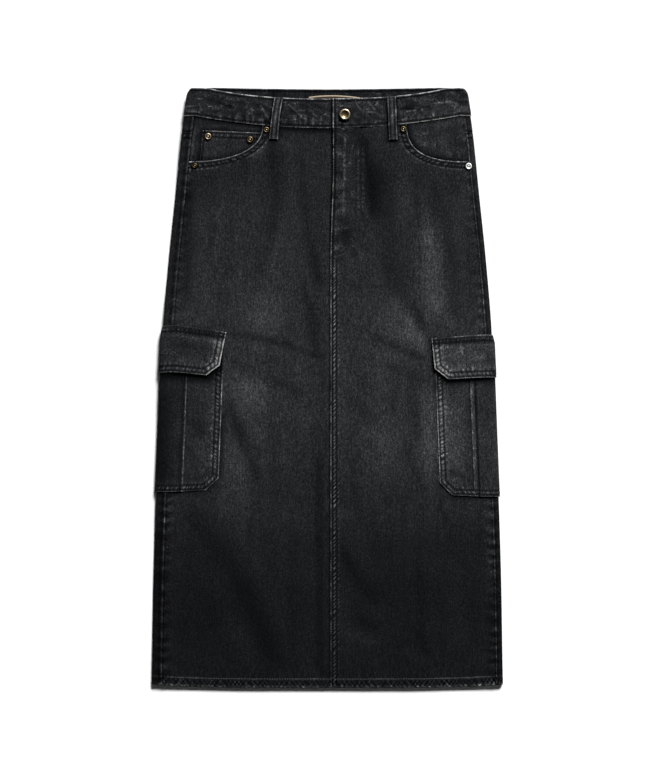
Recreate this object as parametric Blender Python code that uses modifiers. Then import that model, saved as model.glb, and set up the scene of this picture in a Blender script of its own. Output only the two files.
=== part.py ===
"""A black denim cargo midi skirt, laid flat on its back, front panel up.

Metres, +Z up. The waist points to +Y and the hem to -Y. The cloth is a flattened tube: every piece is a
wall laid on one reference surface, the inside face of the tube, and moved outwards by its own layer height.
"Depth" is always the distance below the top of the waist, and "out" the distance outwards from the inside face.
"""

from collections import namedtuple
from math import cos, exp, hypot, pi, radians, sin, sqrt

import bmesh
import bpy
from mathutils import Vector

# ---- Driving dimensions -------------------------------------------------------------------------------

LENGTH = 0.800
CLOTH = 0.0010            # one layer of denim
GAP = 0.0003              # between pieces that touch
FOLD_RADIUS = 0.0010      # inside radius of the tube where it folds at the sides
THICK_FOLD_RADIUS = 0.0017          # the same at the waist and the hem
LAY_SHIFT = 0.0022        # the tube lies turned a little, which moves both side seams to +X
FRONT_CENTRE = 0.0040
SIDE_SEAM_INSET = 0.0113  # front panels stop this far inside the folds, and the back wraps round to them

WAISTBAND = 0.0365        # height at the back and the sides
WAISTBAND_WALL = 0.0028
WAISTBAND_PROUD = 0.0012  # beyond the panels' outer face
WAIST_CORNER, WAIST_CORNER_RUN = 0.0035, 0.009
FRONT_TOP_DIP, FRONT_TOP_REACH = 0.0133, 0.157     # the front hangs lower than the back
FRONT_SEAM_DIP, FRONT_SEAM_REACH = 0.0163, 0.1765
OVERLAP_EDGE = 0.0070     # x of the buttonhole end of the waistband
UNDERLAP_EDGE = 0.0430    # x of the button end, under it

HEM = 0.012
HEM_WALL = 0.0021
YOKE_AT_SIDE = 0.0573
YOKE_AT_CENTRE = 0.100

FLY_LENGTH = 0.178        # below the waist seam
FLY_EDGE = 0.0033         # the fly's edge stands past the front centre at the top
FLY_UNDERLAP = 0.008

MOUTH_DEPTH = 0.0970
FACING_REACH = 1.22       # the facing runs on under the front panel to this times the mouth's curve
COIN_REACH = 1.07
COIN_OUTER = 0.9235       # share of the way from the front centre to the side seam
COIN_TOP_OUTER, COIN_TOP_INNER = 0.0555, 0.0592

LOOP_WIDTH, LOOP_WALL, LOOP_BOW = 0.0123, 0.0015, 0.0010

POCKET_HALF, POCKET_CORNER = 0.0688, 0.0165
POCKET_TOP = 0.014        # the pocket starts this far below the flap's seam
PLEAT_WALL, FLAP_WALL, FLAP_LIFT = 0.0016, 0.0014, 0.0012
FLAP_CORNER_ACROSS, FLAP_CORNER_ALONG = 0.0175, 0.0155

BUTTON_X, BUTTON_DEPTH, BUTTON_RADIUS, BUTTON_HEIGHT = 0.0233, 0.0350, 0.0075, 0.0036
RIVET_RADIUS, RIVET_HEIGHT = 0.0045, 0.0016

Side = namedtuple("Side", "name sign mouth_start mouth_power coin_pocket")
SIDES = [  # named as the wearer has them: the wearer's left is at +X
    Side("left", 1, 0.5690, 2.80, False),
    Side("right", -1, 0.4874, 2.40, True),
]

# Depth of the flap's seam at the side seam, then lengths from it, half widths from the side seam, and the
# slopes of the pocket's top and foot away from the fold.
Cargo = namedtuple("Cargo", "depth length flap flap_top flap_foot pleat slope_top slope_foot")
CARGO = {
    "left": Cargo(0.3282, 0.2165, 0.0572, 0.0719, 0.0697, 0.0228, 0.080, -0.040),
    "right": Cargo(0.3158, 0.2225, 0.0626, 0.0708, 0.0642, 0.0212, 0.150, -0.050),
}

Level = namedtuple("Level", "depth half_width")
OUTLINE = [  # outer face of the panels at the folds
    Level(0.000, 0.1857),
    Level(0.058, 0.1941),
    Level(0.143, 0.2031),
    Level(0.229, 0.2120),
    Level(0.314, 0.2188),
    Level(0.464, 0.2254),
    Level(0.634, 0.2318),
    Level(0.800, 0.2346),
]

Fold = namedtuple("Fold", "x0 depth0 x1 depth1 reach height")
FRONT_FOLDS = [  # soft ridges of the front, each between two points
    Fold(-0.040, 0.115, -0.052, 0.255, 0.016, 0.0012),
    Fold(0.078, 0.120, 0.086, 0.290, 0.018, 0.0015),
    Fold(-0.030, 0.300, -0.120, 0.380, 0.026, 0.0012),
    Fold(-0.165, 0.600, -0.105, 0.770, 0.026, 0.0018),
    Fold(-0.100, 0.530, -0.010, 0.740, 0.030, 0.0020),
    Fold(0.120, 0.500, 0.030, 0.620, 0.030, 0.0016),
    Fold(0.150, 0.610, 0.110, 0.770, 0.032, 0.0016),
    Fold(0.040, 0.660, 0.050, 0.780, 0.022, 0.0010),
]

Rivet = namedtuple("Rivet", "name x depth on")
RIVETS = [
    Rivet("rivet_right_mouth_inner", -0.0814, 0.0550, "front"),
    Rivet("rivet_right_mouth_outer", -0.1770, 0.1025, "front"),
    Rivet("rivet_coin_outer", -0.1592, 0.0638, "coin"),
    Rivet("rivet_coin_inner", -0.1032, 0.0680, "coin"),
    Rivet("rivet_left_mouth_inner", 0.1012, 0.0540, "front"),
    Rivet("rivet_left_mouth_outer", 0.1885, 0.1033, "front"),
]

Loop = namedtuple("Loop", "name face x_top x_foot foot")
BELT_LOOPS = [
    Loop("belt_loop_front_right", "front", -0.0647, -0.0719, 0.0675),
    Loop("belt_loop_front_left", "front", 0.0860, 0.0890, 0.0680),
    Loop("belt_loop_back_right", "back", -0.1050, -0.1070, 0.0500),
    Loop("belt_loop_back_centre", "back", -LAY_SHIFT, -LAY_SHIFT, 0.0500),
    Loop("belt_loop_back_left", "back", 0.1050, 0.1070, 0.0500),
]

LABEL_WIDTH, LABEL_HEIGHT, LABEL_X, LABEL_DEPTH = 0.070, 0.026, 0.010, 0.009

# ---- Layer heights, worked out from the walls ---------------------------------------------------------

RAISED = CLOTH + GAP                                   # one layer up
WAISTBAND_OUT = CLOTH + WAISTBAND_PROUD                # outer face of the waistband
OVERLAP_RAISE = WAISTBAND_WALL + GAP
FRONT_LOOP_IN = WAISTBAND_OUT + GAP
BACK_LOOP_IN = WAISTBAND_OUT + GAP
PLEAT_OUT = RAISED + PLEAT_WALL
POCKET_OUT = RAISED + CLOTH
WAIST_STAND = BACK_LOOP_IN + LOOP_WALL                 # inside face above the floor at the back waist
FLAP_STAND = PLEAT_OUT + GAP + FLAP_WALL
BODY_SPACE, WAIST_SPACE, HEM_SPACE = 0.0008, 0.0032, 0.0026


def ease(low, high, value):
    """0 below low, 1 above high, smooth between."""
    t = min(max((value - low) / (high - low), 0.0), 1.0)
    return t * t * (3 - 2 * t)


def plateau(low, high, run, value):
    """1 from low to high, easing to 0 over run on both sides."""
    return ease(low - run, low, value) * (1 - ease(high, high + run, value))


def spread(start, end, count):
    """count + 1 values from start to end."""
    return [start + (end - start) * i / count for i in range(count + 1)]


# ---- The flattened tube -------------------------------------------------------------------------------


def half_width(depth):
    """Half the width of the laid skirt at a depth: a smooth curve through OUTLINE, rounded at the waist's corners."""
    rows = OUTLINE
    i = max(k for k in range(len(rows) - 1) if k == 0 or rows[k].depth <= depth)

    def slope(k):
        a, b = rows[max(k - 1, 0)], rows[min(k + 1, len(rows) - 1)]
        return (b.half_width - a.half_width) / (b.depth - a.depth)

    a, b = rows[i], rows[i + 1]
    run = b.depth - a.depth
    t = min((depth - a.depth) / run, 1.0)
    width = (
        a.half_width * (1 + 2 * t) * (1 - t) ** 2
        + b.half_width * t * t * (3 - 2 * t)
        + slope(i) * run * t * (1 - t) ** 2
        + slope(i + 1) * run * t * t * (t - 1)
    )
    return width - WAIST_CORNER * max(1 - depth / WAIST_CORNER_RUN, 0.0) ** 2


def fold_radius(depth):
    """Inside radius of the side folds: rounder at the waist and the hem, where the cloth is thick."""
    thick = 1 - ease(0.040, 0.140, depth) + ease(LENGTH - 0.090, LENGTH - 0.016, depth)
    return FOLD_RADIUS + (THICK_FOLD_RADIUS - FOLD_RADIUS) * thick


def fold_line(depth):
    """x where the flat cloth turns into the side fold."""
    return half_width(depth) - CLOTH - fold_radius(depth)


def seam_width(depth):
    """Distance from the front centre to a side seam, which lies on the front."""
    return half_width(depth) - SIDE_SEAM_INSET


def seam_x(side, depth):
    """x of the side seam."""
    return LAY_SHIFT + side.sign * seam_width(depth)


def front_x(side, share, depth):
    """x of a point of the front at a share of the way from its centre to the side seam."""
    return LAY_SHIFT + side.sign * (share * seam_width(depth) - (GAP / 2 if share == 1 else 0))


def back_stand(x, depth):
    """Height of the back's inside face above the floor: what lies under it there."""
    stand = CLOTH + (WAIST_STAND - CLOTH) * (1 - ease(0.052, 0.160, depth))
    side = SIDES[0] if x > 0 else SIDES[1]
    near = 1 - ease(0.088, 0.145, half_width(depth) - abs(x))
    cargo = CARGO[side.name]
    pocket = plateau(cargo.depth, cargo.depth + cargo.length + 0.010, 0.070, depth)
    flap = plateau(cargo.depth, cargo.depth + cargo.flap + 0.010, 0.070, depth)
    return stand + near * ((PLEAT_OUT - CLOTH) * pocket + (FLAP_STAND - PLEAT_OUT) * flap)


def ridge(fold, x, depth):
    """Height of one soft fold at a point of the front."""
    along_x, along_d = fold.x1 - fold.x0, fold.depth1 - fold.depth0
    length = hypot(along_x, along_d)
    t = ((x - fold.x0) * along_x + (depth - fold.depth0) * along_d) / length**2
    near = min(max(t, 0.0), 1.0)
    away = hypot(x - fold.x0 - near * along_x, depth - fold.depth0 - near * along_d)
    return fold.height * exp(-((away / fold.reach) ** 2)) * (0.4 + 0.6 * sin(pi * near))


def space(x, depth):
    """Distance between the inside faces of front and back."""
    waist = 1 - ease(0.052, 0.160, depth)
    hem = ease(LENGTH - 0.090, LENGTH - 0.016, depth)
    middle = BODY_SPACE + (WAIST_SPACE - BODY_SPACE) * waist + (HEM_SPACE - BODY_SPACE) * hem
    middle += sum(ridge(fold, x, depth) for fold in FRONT_FOLDS)
    at_fold = 2 * fold_radius(depth)
    inside = max(fold_line(depth) - abs(x), 0.0)
    return at_fold + (middle - at_fold) * ease(0.0, 0.070, inside)


def front(x, depth, out=0.0):
    """A point of the front, lying on top."""
    return x, LENGTH / 2 - depth, back_stand(x, depth) + space(x, depth) + out


def back(x, depth, out=0.0):
    """A point of the back, lying under."""
    return x, LENGTH / 2 - depth, back_stand(x, depth) - out


def side_fold(sign, depth, angle, out=0.0):
    """A point of the fold at a side: angle 90 degrees is where it leaves the front, -90 where it joins the back."""
    turn = fold_line(depth)
    middle = back_stand(sign * turn, depth) + fold_radius(depth)
    radius = fold_radius(depth) + out
    return (
        sign * (turn + radius * cos(radians(angle))),
        LENGTH / 2 - depth,
        middle + radius * sin(radians(angle)),
    )


def round_fold(sign, depth, distance, out=0.0):
    """A point at a distance along the inside face from the fold's outermost line: front below 0, back above 0."""
    quarter = fold_radius(depth) * pi / 2
    if abs(distance) < quarter:
        return side_fold(sign, depth, -90 * distance / quarter, out)
    x = sign * (fold_line(depth) - abs(distance) + quarter)
    return front(x, depth, out) if distance < 0 else back(x, depth, out)


# ---- Seams and edges of the cut pieces ----------------------------------------------------------------


def waist_top(x):
    """Depth of the front's top edge."""
    return FRONT_TOP_DIP * max(1 - abs(x / FRONT_TOP_REACH) ** 2.4, 0.0)


def waist_seam(x):
    """Depth of the seam between the front waistband and the panels."""
    return WAISTBAND + FRONT_SEAM_DIP * max(1 - (x / FRONT_SEAM_REACH) ** 2, 0.0)


def hem_line(x):
    """Depth of the hem's edge, which rises a little at the corners."""
    return LENGTH - 0.0045 * (x / OUTLINE[-1].half_width) ** 4


def yoke_seam(x):
    """Depth of the back yoke's lower seam."""
    return YOKE_AT_CENTRE + (YOKE_AT_SIDE - YOKE_AT_CENTRE) * min(abs(x) / 0.190, 1.0)


def mouth_depth(side, share, reach=1.0):
    """Depth of the mouth's curve, or of one reach times as far from its end at the side seam."""
    across = (1 - share) / (1 - side.mouth_start) / reach
    down = max(1 - across**side.mouth_power, 0.0) ** (1 / side.mouth_power) * reach
    top = waist_seam(front_x(side, share, 0.04))
    return top + down * (MOUTH_DEPTH - top)


def mouth_reach(side, share, depth):
    """1 on the edge of the pocket's mouth, less inside it and more on the front panel."""
    top = waist_seam(front_x(side, share, 0.04))
    across = max(1 - share, 0.0) / (1 - side.mouth_start)
    down = max(depth - top, 0.0) / (MOUTH_DEPTH - top)
    return (across**side.mouth_power + down**side.mouth_power) ** (1 / side.mouth_power)


def mouth_columns(side):
    """Columns that every piece round the mouth shares, as shares of the way from the centre to the side seam."""
    beyond = [1.36, 1.27, FACING_REACH - 0.04, COIN_REACH]
    along = [cos(radians(angle)) ** (2 / side.mouth_power) for angle in (0, 15, 30, 45, 60, 75)] + [0.0]
    if side.coin_pocket:
        along.insert(-1, (1 - COIN_OUTER) / (1 - side.mouth_start))
    return [1 - (1 - side.mouth_start) * across for across in beyond + along]


def front_raise(side, share, depth):
    """How far the front panel stands over what lies under it: the facing, the coin pocket, the fly's underlap."""
    reach = mouth_reach(side, share, depth)
    raised = RAISED * (1 - ease(1.23, 1.75, reach))
    if side.coin_pocket:
        raised += RAISED * (1 - ease(1.10, 1.50, reach)) * (1 - ease(COIN_OUTER + 0.01, COIN_OUTER + 0.07, share))
    if side.sign > 0:
        from_centre = share * seam_width(depth)
        fly_end = waist_seam(0) + FLY_LENGTH
        over = 1 - ease(FLY_EDGE + FLY_UNDERLAP, FLY_EDGE + FLY_UNDERLAP + 0.040, from_centre)
        raised = max(raised, RAISED * over * (1 - ease(fly_end, fly_end + 0.040, depth)))
    return raised


# ---- Making the walls ---------------------------------------------------------------------------------

skirt = bpy.data.collections.new("cargo_skirt")
cutters = bpy.data.collections.new("cutters")


def material(name, colour, roughness, metallic=0.0):
    made = bpy.data.materials.new(name)
    made.use_nodes = True
    shader = made.node_tree.nodes["Principled BSDF"]
    shader.inputs["Base Color"].default_value = (*colour, 1)
    shader.inputs["Roughness"].default_value = roughness
    shader.inputs["Metallic"].default_value = metallic
    made.diffuse_color = (*colour, 1)
    return made


def add(name, mesh, finish, collection=skirt):
    obj = bpy.data.objects.new(name, mesh)
    mesh.materials.append(finish)
    collection.objects.link(obj)
    return obj


def wall(name, finish, columns, rows, place, thickness, inwards, thick_at=None):
    """A sheet of cloth: a grid with its point (column, row) where place puts it, made a wall by Solidify.

    inwards says that place gives the outer face. thick_at gives the share of the thickness at each point."""
    mesh = bpy.data.meshes.new(name)
    bm = bmesh.new()
    across, down = len(columns) - 1, len(rows) - 1
    bmesh.ops.create_grid(bm, x_segments=across, y_segments=down, size=0.5)
    shares = []
    for vertex in bm.verts:
        column = columns[round((vertex.co.x + 0.5) * across)]
        row = rows[round((0.5 - vertex.co.y) * down)]
        shares.append(thick_at(column, row) if thick_at else 1.0)
        vertex.co = place(column, row)
    bm.to_mesh(mesh)
    bm.free()
    mesh.shade_smooth()
    obj = add(name, mesh, finish)
    solidify = obj.modifiers.new("cloth", "SOLIDIFY")
    solidify.thickness = thickness
    solidify.offset = -1 if inwards else 1
    solidify.use_even_offset = True
    if thick_at:
        group = obj.vertex_groups.new(name="thickness")
        for index, share in enumerate(shares):
            group.add([index], share, "REPLACE")
        solidify.vertex_group = group.name
    return obj


def turned(name, finish, profile, centre, steps=24):
    """A turned solid on a vertical axis. profile runs down its outer side: (radius, height) pairs."""
    mesh = bpy.data.meshes.new(name)
    bm = bmesh.new()
    points = [bm.verts.new((radius, 0, height)) for radius, height in profile]
    for upper, lower in zip(points, points[1:]):
        bm.edges.new((upper, lower))
    bm.to_mesh(mesh)
    bm.free()
    obj = add(name, mesh, finish)
    obj.location = centre
    screw = obj.modifiers.new("turn", "SCREW")
    screw.steps = screw.render_steps = steps
    screw.use_merge_vertices = True
    screw.merge_threshold = 0.00001
    return obj


# ---- The pieces ---------------------------------------------------------------------------------------


def front_panel(side, denim):
    """Cut away at the pocket's mouth; the wearer's left one runs to the fly's edge, the right one passes under it."""
    columns = [0.0, 0.08, 0.17, 0.27] + [share for share in mouth_columns(side) if share > 0.30]
    hem_row = 1 - HEM / 0.72
    rows = [0.0, 0.012, 0.026, 0.042, 0.062, 0.086, 0.115, 0.15, 0.19, 0.23]
    rows += spread(0.26, 0.68, 17) + [0.73, 0.785, 0.84, 0.895, 0.95, hem_row - 0.001, hem_row, 1.0]
    fly_end = waist_seam(0) + FLY_LENGTH

    def inner_edge(depth):
        past = FLY_EDGE * (1 - ease(0.10, fly_end, depth))
        if side.sign > 0:
            return FRONT_CENTRE + past + GAP / 2
        under = FLY_UNDERLAP * (1 - ease(fly_end - 0.040, fly_end - 0.002, depth))
        return FRONT_CENTRE + past + under - GAP / 2

    def place(share, row):
        if share < side.mouth_start + 1e-6:
            start = waist_seam(front_x(side, share, 0.04)) + GAP
        else:
            start = mouth_depth(side, share)
        depth = start + (hem_line(front_x(side, share, LENGTH)) - start) * row
        x = front_x(side, share, depth) if share else inner_edge(depth)
        return front(x, depth, CLOTH + front_raise(side, share, depth))

    def thick_at(share, row):
        return 1.0 if row > hem_row - 1e-6 else CLOTH / HEM_WALL

    order = columns if side.sign > 0 else columns[::-1]
    return wall(f"front_{side.name}", denim, order, rows, place, HEM_WALL, True, thick_at)


def back_columns(side):
    """Where the columns of a back piece lie: on the back, round the fold, and on the front as far as the seam."""
    flat = [("back", share) for share in (0.0, 0.14, 0.28, 0.40, 0.49, 0.57, 0.65, 0.73, 0.82, 0.92)]
    turn = [("fold", angle) for angle in spread(-90, 90, 6)]
    return flat + turn + [("front", 1.0)]


def back_place(side, column, depth, out):
    where, value = column
    if where == "fold":
        return side_fold(side.sign, depth, value, out)
    turn = side.sign * fold_line(depth)
    if where == "back":
        centre = -LAY_SHIFT + side.sign * GAP / 2
        return back(centre + (turn - centre) * value, depth, out)
    edge = seam_x(side, depth) + side.sign * GAP / 2
    return front(turn + (edge - turn) * value, depth, out)


def back_pieces(side, denim):
    """The yoke and the back panel of one side. Both wrap round the fold to the side seam on the front."""
    columns = back_columns(side)
    order = columns[::-1] if side.sign > 0 else columns
    hem_row = 1 - HEM / 0.72

    def yoke_foot(column):
        return yoke_seam(0.190 * column[1] if column[0] == "back" else 0.190)

    def yoke_place(column, row):
        top = WAISTBAND + GAP
        return back_place(side, column, top + (yoke_foot(column) - GAP / 2 - top) * row, CLOTH)

    def panel_place(column, row):
        top = yoke_foot(column) + GAP / 2
        foot = hem_line(0.23 * column[1] if column[0] == "back" else 0.23)
        return back_place(side, column, top + (foot - top) * row, CLOTH)

    def thick_at(column, row):
        return 1.0 if row > hem_row - 1e-6 else CLOTH / HEM_WALL

    wall(f"yoke_{side.name}", denim, order, spread(0, 1, 4), yoke_place, CLOTH, True)
    rows = spread(0.0, 0.20, 6) + spread(0.23, 0.72, 19) + [0.79, 0.86, 0.93, hem_row - 0.001, hem_row, 1.0]
    wall(f"back_{side.name}", denim, order, rows, panel_place, HEM_WALL, True, thick_at)


def waistband(denim):
    """One band from the button end, round the wearer's right side and the back, to the buttonhole end on top."""
    turn = 0.1765
    columns = [("front", x) for x in (UNDERLAP_EDGE, 0.030, 0.018, 0.004, -0.012)]
    columns += [("front", x) for x in spread(-0.030, -turn, 9)]
    columns += [("right", angle) for angle in spread(90, -90, 6)]
    columns += [("back", x) for x in spread(-turn, turn, 14)]
    columns += [("left", angle) for angle in spread(-90, 90, 6)]
    columns += [("front", x) for x in spread(turn, 0.080, 5)]
    columns += [("over", x) for x in (0.071, 0.064, 0.056, 0.047, 0.037, 0.027, 0.017, OVERLAP_EDGE)]
    rows = [0.0, 0.06, 0.13, 0.24, 0.50, 0.75, 1.0]

    def place(column, row):
        where, value = column
        on_front = where in ("front", "over")
        top = waist_top(value) if on_front else 0.0
        foot = (waist_seam(value) if on_front else WAISTBAND) - GAP / 2
        depth = top + (foot - top) * row
        if where == "right":
            return side_fold(-1, depth, value, WAISTBAND_OUT)
        if where == "left":
            return side_fold(1, depth, value, WAISTBAND_OUT)
        if where == "back":
            return back(value, depth, WAISTBAND_OUT)
        over = 1 - ease(UNDERLAP_EDGE + 0.002, 0.078, value) if where == "over" else 0.0
        return front(value, depth, WAISTBAND_OUT + OVERLAP_RAISE * over)

    return wall("waistband", denim, columns[::-1], rows, place, WAISTBAND_WALL, True)


def button(metal):
    """A tack button on the overlapping end: a rounded ring round a sunk centre, on a short neck."""
    rim, neck = BUTTON_RADIUS, 0.0030
    profile = [
        (0.0, 0.0030), (0.0012, 0.0028), (0.0022, 0.0021), (0.0038, 0.0022), (0.0048, BUTTON_HEIGHT - 0.0003),
        (0.0058, BUTTON_HEIGHT), (rim - 0.0006, 0.0034), (rim, 0.0023), (rim - 0.0005, 0.0013),
        (rim - 0.0022, 0.0007), (neck + 0.0004, 0.0005), (neck, 0.0), (0.0, 0.0),
    ]
    centre = front(BUTTON_X, BUTTON_DEPTH, WAISTBAND_OUT + OVERLAP_RAISE + GAP)
    return turned("button", metal, profile, centre, 22)


def pocket_facing(side, denim):
    """The hip piece that shows inside the mouth and runs on under the front panel."""
    inner = 1 - (1 - side.mouth_start) * (FACING_REACH - 0.04)
    columns = [share for share in mouth_columns(side) if share > inner - 1e-6]

    def place(share, row):
        top = waist_seam(front_x(side, share, 0.04)) + GAP
        depth = top + (mouth_depth(side, share, FACING_REACH) - top) * row
        return front(front_x(side, share, depth), depth, CLOTH)

    order = columns if side.sign > 0 else columns[::-1]
    return wall(f"pocket_facing_{side.name}", denim, order, spread(0, 1, 6), place, CLOTH, True)


def coin_pocket(side, denim):
    """The small fifth pocket on the facing, which also runs on under the front panel."""
    inner = 1 - (1 - side.mouth_start) * COIN_REACH
    columns = [share for share in mouth_columns(side) if inner - 1e-6 < share < COIN_OUTER + 1e-6]

    def place(share, row):
        along = (share - inner) / (COIN_OUTER - inner)
        top = COIN_TOP_INNER + (COIN_TOP_OUTER - COIN_TOP_INNER) * along
        foot = max(mouth_depth(side, share, COIN_REACH + 0.03), top + 0.008)
        depth = top + (foot - top) * row
        return front(front_x(side, share, depth), depth, RAISED + CLOTH)

    order = columns if side.sign > 0 else columns[::-1]
    return wall("coin_pocket", denim, order, spread(0, 1, 4), place, CLOTH, True)


def belt_loop(loop, denim):
    """A folded strip sewn at the band's top edge and below the band, bowed a little between on the front."""
    on_front = loop.face == "front"
    top = waist_top(loop.x_top) + 0.0005 if on_front else 0.0005
    columns = spread(-LOOP_WIDTH / 2, LOOP_WIDTH / 2, 2)

    def place(column, row):
        x = loop.x_top + (loop.x_foot - loop.x_top) * row + column
        depth = top + (loop.foot - top) * row
        if on_front:
            side = SIDES[0] if x > 0 else SIDES[1]
            share = side.sign * (x - LAY_SHIFT) / seam_width(depth)
            on_panel = CLOTH + front_raise(side, share, max(depth, waist_seam(x))) + GAP
            return front(x, depth, max(FRONT_LOOP_IN, on_panel) + LOOP_WALL + LOOP_BOW * sin(pi * row))
        return back(x, depth, BACK_LOOP_IN + LOOP_WALL)

    order = columns if on_front else columns[::-1]
    return wall(loop.name, denim, order, spread(0, 1, 8), place, LOOP_WALL, True)


def seam_to_fold(side):
    """Distance from the side seam to where the cloth turns into the fold, below the hips."""
    return SIDE_SEAM_INSET - side.sign * LAY_SHIFT - CLOTH - FOLD_RADIUS


def on_side(side, across, along, out):
    """A point of a cargo pocket: across from the side seam, to the front below 0, and along it from the flap's seam."""
    cargo = CARGO[side.name]
    steep = (max(along, 0.0) / cargo.length) ** 1.25
    slope = cargo.slope_top + (cargo.slope_foot - cargo.slope_top) * steep
    depth = cargo.depth + along + slope * (sqrt(across**2 + 0.01**2) - 0.01)
    return round_fold(side.sign, depth, across - seam_to_fold(side) - FOLD_RADIUS * pi / 2, out)


def fold_columns(side, edge, extra):
    """Columns across a cargo pocket, close together where it goes round the fold."""
    quarter = FOLD_RADIUS * pi / 2
    turn = [seam_to_fold(side) + quarter * step / 3 for step in range(7)]
    kept = [a for a in extra if not turn[0] - 0.001 < a < turn[-1] + 0.001]
    return sorted([-edge, edge] + turn + kept)


def cargo_pocket(side, denim):
    """The pocket's body with its box pleat, square at the top and with its lower corners cut off."""
    cargo = CARGO[side.name]
    corner = POCKET_HALF - POCKET_CORNER
    marks = [s * a for s in (-1, 1) for a in (cargo.pleat, cargo.pleat + 0.0005, 0.038, corner)]
    columns = fold_columns(side, POCKET_HALF, marks + [-0.010, 0.0])

    def place(across, row):
        length = cargo.length - max(abs(across) - corner, 0.0)
        return on_side(side, across, POCKET_TOP + (length - POCKET_TOP) * row, RAISED)

    def thick_at(across, row):
        return 1.0 if abs(across) < cargo.pleat + 1e-6 else CLOTH / PLEAT_WALL

    order = columns if side.sign > 0 else columns[::-1]
    return wall(f"cargo_pocket_{side.name}", denim, order, spread(0, 1, 7), place, PLEAT_WALL, False, thick_at)


def cargo_flap(side, denim):
    """The flap: sewn down at its top, it steps over the pocket and its pleat, and its front edge lifts a little."""
    cargo = CARGO[side.name]
    narrow = cargo.flap_foot / cargo.flap_top
    corner = cargo.flap_foot - FLAP_CORNER_ACROSS
    marks = [s * a for s in (-1, 1) for a in (cargo.pleat + 0.001, cargo.pleat + 0.006, 0.038, corner / narrow)]
    columns = fold_columns(side, cargo.flap_top, marks + [-0.010, 0.0])
    rows = [0.0, 0.12, 0.22, 0.45, 0.70, 0.88, 1.0]

    def place(across, row):
        outside = abs(across) > cargo.pleat + 0.010
        a = across * (1 + (narrow - 1) * row) if outside else across
        cut = max(abs(across) * narrow - corner, 0.0) / FLAP_CORNER_ACROSS if outside else 0.0
        along = (cargo.flap - FLAP_CORNER_ALONG * min(cut, 1.0)) * row
        over_pleat = 1 - ease(cargo.pleat + 0.001, cargo.pleat + 0.006, abs(a))
        seat = POCKET_OUT + (PLEAT_OUT - POCKET_OUT) * over_pleat + GAP
        out = RAISED + (seat - RAISED) * ease(0.0, POCKET_TOP - 0.002, along)
        lift = FLAP_LIFT * ease(0.020, 0.060, along) * (1 - ease(-0.010, 0.004, a))
        return on_side(side, a, along, out + lift)

    order = columns if side.sign > 0 else columns[::-1]
    return wall(f"cargo_flap_{side.name}", denim, order, rows, place, FLAP_WALL, False)


def rivet(row, metal):
    """A capped rivet, square to the outer face of the front panel or of the coin pocket."""
    side = SIDES[0] if row.x > 0 else SIDES[1]

    def surface(x, depth):
        share = side.sign * (x - LAY_SHIFT) / seam_width(depth)
        on = RAISED if row.on == "coin" else front_raise(side, share, depth)
        return Vector(front(x, depth, on + CLOTH + 0.0005))

    r, h = RIVET_RADIUS, RIVET_HEIGHT
    profile = [
        (0.0, h), (0.0012, h - 0.0003), (0.0018, h - 0.0009), (0.0028, h - 0.0002),
        (r - 0.0006, h - 0.0004), (r, h - 0.0011), (r, 0.0), (0.0, 0.0),
    ]
    centre = surface(row.x, row.depth)
    across = surface(row.x + r, row.depth) - surface(row.x - r, row.depth)
    along = surface(row.x, row.depth - r) - surface(row.x, row.depth + r)
    made = turned(row.name, metal, profile, centre, 16)
    made.rotation_euler = across.cross(along).to_track_quat("Z", "Y").to_euler()
    return made


def label(cloth):
    """A plain label sewn inside the back waistband."""
    inner = WAISTBAND_OUT - WAISTBAND_WALL - GAP
    columns = [LABEL_X + x for x in spread(-LABEL_WIDTH / 2, LABEL_WIDTH / 2, 5)]

    def place(x, row):
        return back(x, LABEL_DEPTH + LABEL_HEIGHT * row, inner)

    return wall("label", cloth, columns[::-1], spread(0, 1, 2), place, CLOTH, True)


def main():
    for obj in list(bpy.data.objects):
        bpy.data.objects.remove(obj)
    bpy.context.scene.collection.children.link(skirt)
    bpy.context.scene.collection.children.link(cutters)
    denim = material("black_denim", (0.020, 0.021, 0.024), 0.92)
    brass = material("antique_brass", (0.42, 0.33, 0.19), 0.38, 1.0)
    nickel = material("nickel", (0.75, 0.74, 0.70), 0.25, 1.0)
    label_cloth = material("label_cloth", (0.30, 0.22, 0.13), 0.7)

    for side in SIDES:
        front_panel(side, denim)
        back_pieces(side, denim)
        pocket_facing(side, denim)
        if side.coin_pocket:
            coin_pocket(side, denim)
        cargo_pocket(side, denim)
        cargo_flap(side, denim)
    waistband(denim)
    button(brass)
    for loop in BELT_LOOPS:
        belt_loop(loop, denim)
    for row in RIVETS:
        rivet(row, nickel if row.name == "rivet_left_mouth_outer" else brass)
    label(label_cloth)


main()
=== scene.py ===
# %% [markdown]
# # A washed black denim cargo skirt, laid flat
#
# The skirt lies on its back on a pale table, so we see the front: waistband, pockets, fly, centre seam, cargo
# pockets and hem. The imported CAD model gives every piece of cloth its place, size and thickness, but only with a
# few flat faces. Here each piece is laid again from the same measures, with a much finer mesh, so that it can have
# rolled edges, puckered seams, wrinkles and pale worn ridges. This first cell loads the CAD model and keeps its box,
# because a good-looking cover must never be bigger than the part it covers.

from collections import namedtuple
from math import atan, cos, erf, exp, hypot, pi, radians, sin, sqrt

import bmesh
import bpy
from mathutils import Matrix, Vector, noise


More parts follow.
